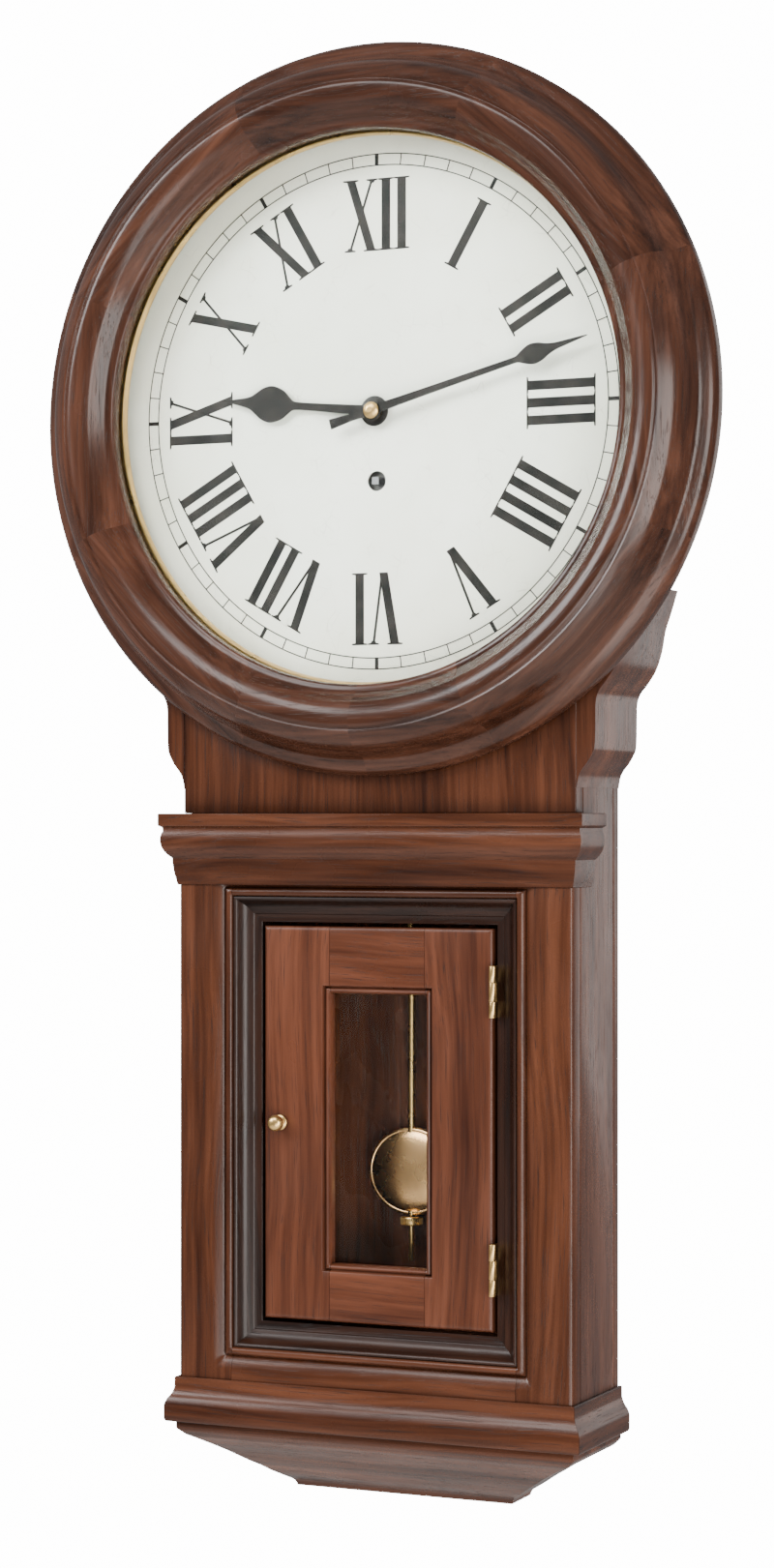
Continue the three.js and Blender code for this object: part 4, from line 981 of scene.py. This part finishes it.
# ---- Dial -------------------------------------------------------------------------------------------
# A flat iron plate painted off-white, yellowed toward the rim and finely crazed, with Roman numerals
# and a railway minute track laid on in black by hand.
def old_paint():
    made, tree, shader = new_finish("dial_enamel_paint")
    place = add_node(tree, "ShaderNodeTexCoord").outputs["Object"]
    flat = add_node(tree, "ShaderNodeMapping", {"Vector": place, "Scale": (1, 0, 1)}).outputs[0]
    from_middle = length_of(tree, flat)
    cloud = noise(tree, flat, 1.0, 16.0, 6.0)
    blotch = noise(tree, flat, 1.0, 55.0, 5.0)
    colour = ramp(tree, cloud, [(0.35, (0.77, 0.78, 0.69)), (0.65, (0.84, 0.85, 0.78))])
    rim = sums(tree, "MULTIPLY_ADD", blotch, 0.25, between(tree, from_middle, 0.08, 0.157, 0.0, 0.45))
    colour = blend(tree, "MIX", sums(tree, "MULTIPLY", rim, 0.6), colour, (0.5, 0.44, 0.3))
    crack = add_node(tree, "ShaderNodeTexVoronoi", {
        "Vector": flat, "Scale": 130.0, "Randomness": 1.0}, feature="DISTANCE_TO_EDGE").outputs[0]
    line = ramp(tree, crack, [(0.0, grey(1.0)), (0.022, grey(0.0))])
    line = sums(tree, "MULTIPLY", line, ramp(tree, blotch, [(0.5, grey(0.0)), (0.66, grey(0.32))]))
    colour = blend(tree, "MIX", line, colour, (0.16, 0.12, 0.08))
    speck = add_node(tree, "ShaderNodeTexVoronoi", {"Vector": flat, "Scale": 190.0}).outputs[0]
    spot = ramp(tree, speck, [(0.04, grey(0.6)), (0.075, grey(0.0))])
    spot = sums(tree, "MULTIPLY", spot, ramp(tree, cloud, [(0.5, grey(0.0)), (0.62, grey(1.0))]))
    colour = blend(tree, "MIX", spot, colour, (0.2, 0.13, 0.07))
    relief = sums(tree, "MULTIPLY_ADD", line, -1.0, sums(tree, "MULTIPLY", blotch, 0.7))
    surfaced(tree, shader, colour, between(tree, blotch, 0.3, 0.7, 0.42, 0.6), 0.2, 0.0003, relief)
    return made


plate = turned("dial_plate_painted", rounded([
    (0.0062, -0.0633), (0.1568, -0.0633), (0.1568, -0.0621), (0.0062, -0.0621)], 0.0003), 160)
WINDING_R, WINDING_AT = 0.0055, (0, 0, -0.038)
cut_by(plate, turned("winding", [(0.0, -0.07), (WINDING_R, -0.07), (WINDING_R, -0.05), (0.0, -0.05)],
                     40, centre=WINDING_AT))
crisp(plate, 35)
standing_for(plate, old_paint(), "dial_plate")


def black_paint():
    made, tree, shader = new_finish("lamp_black_paint")
    place = add_node(tree, "ShaderNodeTexCoord").outputs["Object"]
    cloud = noise(tree, place, 1.0, 90.0, 6.0)
    thin = noise(tree, place, 1.0, 900.0, 4.0)
    colour = ramp(tree, cloud, [(0.35, (0.006, 0.0055, 0.005)), (0.7, (0.018, 0.015, 0.013))])
    rubbed = ramp(tree, thin, [(0.68, grey(0.0)), (0.82, grey(0.16))])
    colour = blend(tree, "MIX", rubbed, colour, (0.3, 0.27, 0.2))
    surfaced(tree, shader, colour, between(tree, cloud, 0.3, 0.7, 0.34, 0.52), 0.2, 0.0002, thin)
    shader.inputs["Specular IOR Level"].default_value = 0.2
    return made


lamp_black = black_paint()
PAINT_Y = -0.06331
PAINT_KEY = 0.00005  # how far the paint reaches into the plate
NUMERAL_MIDDLE, NUMERAL_HIGH = 0.108, 0.0395


def stroke(bottom, top, width, rise):
    """One brush stroke between two heights, cut level at both ends."""
    return [(bottom - width / 2, -NUMERAL_HIGH / 2), (bottom + width / 2, -NUMERAL_HIGH / 2),
            (top + width / 2, NUMERAL_HIGH / 2), (top - width / 2, NUMERAL_HIGH / 2)], rise


def serif(middle, top, width, rise):
    """The bracketed foot or head of a stroke: half of its outline, mirrored about the middle."""
    edge = NUMERAL_HIGH / 2 if top else -NUMERAL_HIGH / 2
    into = -0.0011 if top else 0.0011
    flare = -0.0022 if top else 0.0022
    half = [(width / 2, edge), (width / 2, edge + into * 0.7), (width / 4, edge + into),
            (width / 7, edge + flare)]
    return [(middle - w, z) for w, z in half] + [(middle + w, z) for w, z in reversed(half)], rise


THICK, THIN = 0.0051, 0.0014
BROAD_FOOT, FINE_FOOT = (0.0092, 0.0001), (0.0066, 0.00009)
LETTERS = {
    "I": (0.0094, [stroke(0, 0, THICK, 0.00012), serif(0, True, *BROAD_FOOT), serif(0, False, *BROAD_FOOT)]),
    "V": (0.0205, [stroke(0.0006, -0.0062, THICK, 0.00012), stroke(0.0014, 0.0066, THIN, 0.00011),
                   serif(-0.0062, True, *BROAD_FOOT), serif(0.0066, True, *FINE_FOOT)]),
    "X": (0.0205, [stroke(0.0062, -0.0062, THICK, 0.00012), stroke(-0.0066, 0.0066, THIN, 0.00011),
                   serif(-0.0062, True, *BROAD_FOOT), serif(0.0066, True, *FINE_FOOT),
                   serif(0.0062, False, *BROAD_FOOT), serif(-0.0066, False, *FINE_FOOT)]),
}


def numerals():
    points, faces = [], []
    for hour, word in enumerate(("XII", "I", "II", "III", "IIII", "V", "VI", "VII", "VIII", "IX", "X", "XI")):
        turn = math.radians(30 * hour)
        width = sum(LETTERS[c][0] for c in word)
        at = -width / 2
        for c in word:
            advance, strokes = LETTERS[c]
            for shape, rise in strokes:
                start, count = len(points), len(shape)
                for level in (PAINT_Y - rise, PAINT_Y + PAINT_KEY):
                    for x, up in shape:
                        along = x + at + advance / 2
                        out = up + NUMERAL_MIDDLE
                        points.append((along * math.cos(turn) + out * math.sin(turn), level,
                                       out * math.cos(turn) - along * math.sin(turn)))
                faces.append([start + i for i in range(count)])
                faces.append([start + count + i for i in range(count - 1, -1, -1)])
                sides = [(start + i, start + (i + 1) % count) for i in range(count)]
                faces += [[a, a + count, b + count, b] for a, b in sides]
            at += advance
    return new_piece("dial_numerals", points, faces)


shown(numerals(), lamp_black, "dial_plate")


def marks_tree():
    """Bars set round a circle, every nth one wider, for minute tracks and milled edges."""
    tree = bpy.data.node_groups.new("marks_round", "GeometryNodeTree")
    ids = {"Core": group_input(tree, "Core", "NodeSocketGeometry", None)}
    for label, kind, value in (
            ("Count", "NodeSocketInt", 60), ("Radius", "NodeSocketFloat", 0.138),
            ("Bar", "NodeSocketVector", (0.0006, 0.005, 0.0001)), ("Wide Every", "NodeSocketInt", 5),
            ("Wide Bar", "NodeSocketVector", (0.0022, 0.005, 0.0001)),
            ("Turn", "NodeSocketVector", (0, 0, 0)),
            ("Place", "NodeSocketVector", (0, 0, 0)), ("Material", "NodeSocketMaterial", None)):
        ids[label] = group_input(tree, label, kind, value)
    tree.interface.new_socket("Marks", in_out="OUTPUT", socket_type="NodeSocketGeometry")
    given = tree.nodes.new("NodeGroupInput").outputs
    circle = add_node(tree, "GeometryNodeMeshCircle", {"Vertices": given["Count"], "Radius": given["Radius"]})
    index = add_node(tree, "GeometryNodeInputIndex").outputs[0]
    share = sums(tree, "DIVIDE", sums(tree, "MULTIPLY", index, 2 * math.pi), given["Count"])
    turn = add_node(tree, "ShaderNodeCombineXYZ", {2: sums(tree, "SUBTRACT", share, math.pi / 2)})
    rest = sums(tree, "MODULO", index, given["Wide Every"])
    wide = add_node(tree, "FunctionNodeCompare", {0: rest, 1: 0.5}, data_type="FLOAT", operation="LESS_THAN")
    narrow = add_node(tree, "FunctionNodeCompare", {0: rest, 1: 0.5},
                      data_type="FLOAT", operation="GREATER_THAN")
    sets = []
    for chosen, size in ((narrow, "Bar"), (wide, "Wide Bar")):
        bar = add_node(tree, "GeometryNodeMeshCube", {"Size": given[size]})
        sets.append(add_node(tree, "GeometryNodeInstanceOnPoints", {
            "Points": circle.outputs[0], "Selection": chosen.outputs[0], "Instance": bar.outputs["Mesh"],
            "Rotation": turn.outputs[0]}).outputs[0])
    together = tree.nodes.new("GeometryNodeJoinGeometry")
    for one in sets:
        tree.links.new(one, together.inputs[0])
    placed = add_node(tree, "GeometryNodeTransform", {
        "Geometry": together.outputs[0], "Rotation": given["Turn"], "Translation": given["Place"]})
    with_core = tree.nodes.new("GeometryNodeJoinGeometry")
    tree.links.new(placed.outputs[0], with_core.inputs[0])
    tree.links.new(given["Core"], with_core.inputs[0])
    kept_plain(tree, with_core.outputs[0], given["Material"])
    return tree, ids


MARKS, MARK_IDS = marks_tree()
TRACK_IN, TRACK_OUT, TRACK_LINE = 0.1347, 0.1408, 0.0006
track_top, track_under = PAINT_Y - 0.0001, PAINT_Y + PAINT_KEY
lines = [turned("track_line", [(r, track_top), (r + TRACK_LINE, track_top), (r + TRACK_LINE, track_under),
                               (r, track_under)], 160) for r in (TRACK_IN, TRACK_OUT)]
core = joined("track_lines", *lines)
track = grown("dial_minute_track", core.data, MARKS, MARK_IDS, {
    "Radius": (TRACK_IN + TRACK_OUT + TRACK_LINE) / 2, "Bar": (TRACK_LINE, TRACK_OUT - TRACK_IN, 0.00014),
    "Wide Bar": (0.0021, TRACK_OUT - TRACK_IN, 0.00016), "Turn": (math.radians(90), 0, 0),
    "Place": (0, PAINT_Y - 0.00004, 0), "Material": lamp_black})
bpy.data.objects.remove(core)
shown(track, lamp_black, "dial_plate")


# ---- Hands ------------------------------------------------------------------------------------------
# Blackened steel spade hands, cut from sheet and filed round. The hour hand sits on its pipe and the
# minute hand on the centre arbor in front of it, held by a small domed brass nut.
def hand(name, half_outline, clockwise, front, back, eye, hole, node):
    turn = math.radians(clockwise)
    right = smooth_line(half_outline, 8)
    full = right + [(-w, l) for w, l in reversed(right) if w > 1e-5]
    placed = [(w * math.cos(turn) + l * math.sin(turn), l * math.cos(turn) - w * math.sin(turn))
              for w, l in full]
    blade = slab("blade", placed, front, back)
    mid = (front + back) / 2
    ring = turned("eye", [(hole, back), (hole, front), (eye - 0.0006, front), (eye - 0.0001, front + 0.0003),
                          (eye - 0.0001, mid), (eye - 0.0003, back)], 48)
    return standing_for(eased(joined(name, blade, ring), 0.0003, 3, 40), lamp_black, node)


HOUR = [(0.0028, 0.0075), (0.0024, 0.022), (0.0021, 0.038), (0.0021, 0.0455), (0.0026, 0.0498),
        (0.0048, 0.0525), (0.0079, 0.0562), (0.0098, 0.061), (0.01, 0.0648), (0.0085, 0.069),
        (0.006, 0.0725), (0.0036, 0.076), (0.0023, 0.0805), (0.0014, 0.0855), (0.0002, 0.0918)]
hand("hour_hand_filed", HOUR, 276.25, -0.0669, -0.0659, 0.0084, 0.0047, "hour_hand")
MINUTE = [(0.0028, -0.0258), (0.0024, -0.02), (0.002, -0.012), (0.0024, -0.004), (0.0024, 0.006),
          (0.0021, 0.02), (0.0018, 0.05), (0.0016, 0.084), (0.0019, 0.0885), (0.0034, 0.0915),
          (0.0051, 0.0955), (0.0055, 0.0985), (0.0047, 0.1025), (0.003, 0.1065), (0.0018, 0.1115),
          (0.0012, 0.118), (0.0002, 0.1298)]
hand("minute_hand_filed", MINUTE, 75, -0.0706, -0.0696, 0.0059, 0.0031, "minute_hand")
nut = turned("hand_nut_domed", [
    (0.0, -0.07335), (0.0012, -0.07325), (0.0024, -0.07295), (0.0034, -0.0725), (0.0041, -0.0719),
    (0.0045, -0.0714), (0.0045, -0.07085), (0.0031, -0.07085), (0.0, -0.07085)], 48)
eased(nut, 0.0001, 2, 40)
hollow = turned("hollow", [(0.0, -0.0725), (0.0029, -0.0725), (0.0029, -0.07), (0.0, -0.07)], 32)
cut_by(nut, hollow)
standing_for(nut, brass, "hand_nut")


# ---- Movement ---------------------------------------------------------------------------------------
# The brass movement behind the dial: two plates on four pillars, going train, motion work and anchor.
# Wheels and pinions keep the toothed shapes they were cut to.
for node in ("front_plate", "back_plate", "suspension_cock"):
    standing_for(eased_copy(node, f"{node}_planished", 0.00025), brass, node)
STEEL_NODES = ("winding_arbor", "anchor")
for node in ("pillar_1", "pillar_2", "pillar_3", "pillar_4", "barrel", "centre_wheel", "third_wheel",
             "escape_wheel", "minute_wheel", "hour_wheel", *STEEL_NODES):
    mesh = frame["nodes"][node].data
    mesh.materials.clear()
    mesh.materials.append(steel if node in STEEL_NODES else brass)


# ---- Pendulum ---------------------------------------------------------------------------------------
# A thin spring strip, a brass block, a drawn rod and a fine thread at the end. The heavy brass bob is
# turned lens-shaped and slides on the rod, held up by a knurled rating nut.
ROD_AT = (0, -0.018, 0)
rod = turned("rod", rounded([
    (0.0, 0.0357), (0.002, 0.0357), (0.002, -0.4405), (0.0015, -0.4413), (0.0015, -0.4692), (0.0, -0.4694)],
    0.0004, 2), 28, axis="Z", centre=ROD_AT)
strip = block("strip", (-0.0019, -0.0183, 0.0337), (0.0019, -0.0177, 0.0618))
clamp = block("clamp", (-0.0029, -0.0205, 0.0278), (0.0029, -0.0156, 0.0396))
rod_piece = eased(joined("pendulum_rod_drawn", rod, strip, clamp), 0.0002, 2, 50)
standing_for(rod_piece, brass, "pendulum_rod")


def turned_brass():
    """Brass with fine lathe rings about the bob's middle, dulled and spotted by handling."""
    made, tree, shader = new_finish("lathe_turned_brass")
    place = add_node(tree, "ShaderNodeTexCoord").outputs["Object"]
    centred = add_node(tree, "ShaderNodeMapping", {
        "Vector": place, "Location": (0, 0, 0.42), "Scale": (1, 0, 1)})
    turns = sums(tree, "MULTIPLY", length_of(tree, centred.outputs[0]), 2600.0)
    rings = add_node(tree, "ShaderNodeTexNoise", {"W": turns, "Scale": 1.0, "Detail": 3.0},
                     noise_dimensions="1D").outputs[0]
    cloud = noise(tree, place, 1.0, 70.0, 6.0)
    fine = noise(tree, place, 1.0, 600.0, 4.0)
    share = ramp(tree, cloud, [(0.4, grey(0.0)), (0.75, grey(1.0))])
    colour = blend(tree, "MIX", sums(tree, "MULTIPLY", share, 0.55), (0.74, 0.44, 0.2), (0.4, 0.22, 0.1))
    spots = ramp(tree, fine, [(0.66, grey(0.0)), (0.76, grey(0.5))])
    colour = blend(tree, "MIX", spots, colour, (0.16, 0.1, 0.06))
    relief = sums(tree, "MULTIPLY_ADD", rings, 0.6, sums(tree, "MULTIPLY", fine, 0.2))
    surfaced(tree, shader, colour, sums(tree, "MULTIPLY_ADD", cloud, 0.22, 0.16), 0.25, 0.0002, relief)
    shader.inputs["Metallic"].default_value = 1.0
    return made


BOB_AT = (0, 0, -0.42)
bob = turned("bob_turned", [
    (0.0, -0.02445), (0.004, -0.02438), (0.009, -0.0239), (0.014, -0.02295), (0.0185, -0.0216),
    (0.0214, -0.0203), (0.0221, -0.0197), (0.0224, -0.0199), (0.023, -0.0199), (0.0236, -0.0194),
    (0.0243, -0.0185), (0.0243, -0.0172), (0.0236, -0.0162), (0.0215, -0.0152), (0.016, -0.0132),
    (0.009, -0.0119), (0.0, -0.0116)], 144, centre=BOB_AT)
BOB_BORE_R = 0.00225
cut_by(bob, turned("bore", [(0.0, -0.38), (BOB_BORE_R, -0.38), (BOB_BORE_R, -0.46), (0.0, -0.46)],
                   32, axis="Z", centre=ROD_AT))
crisp(bob, 45)
standing_for(bob, turned_brass(), "bob")

core = turned("nut_core", [
    (0.0017, -0.4449), (0.0051, -0.4449), (0.0056, -0.4454), (0.0056, -0.4492), (0.0051, -0.4497),
    (0.0017, -0.4497)], 40, axis="Z", centre=ROD_AT)
KNURL = (0.0005, 0.0008, 0.0036)
knurled = grown("rating_nut_knurled", core.data, MARKS, MARK_IDS, {
    "Count": 36, "Radius": 0.0055, "Bar": KNURL, "Wide Every": 100, "Wide Bar": KNURL,
    "Place": (0, ROD_AT[1], -0.4473), "Material": brass})
bpy.data.objects.remove(core)
eased(knurled, 0.0001, 1, 50)
standing_for(knurled, brass, "rating_nut")
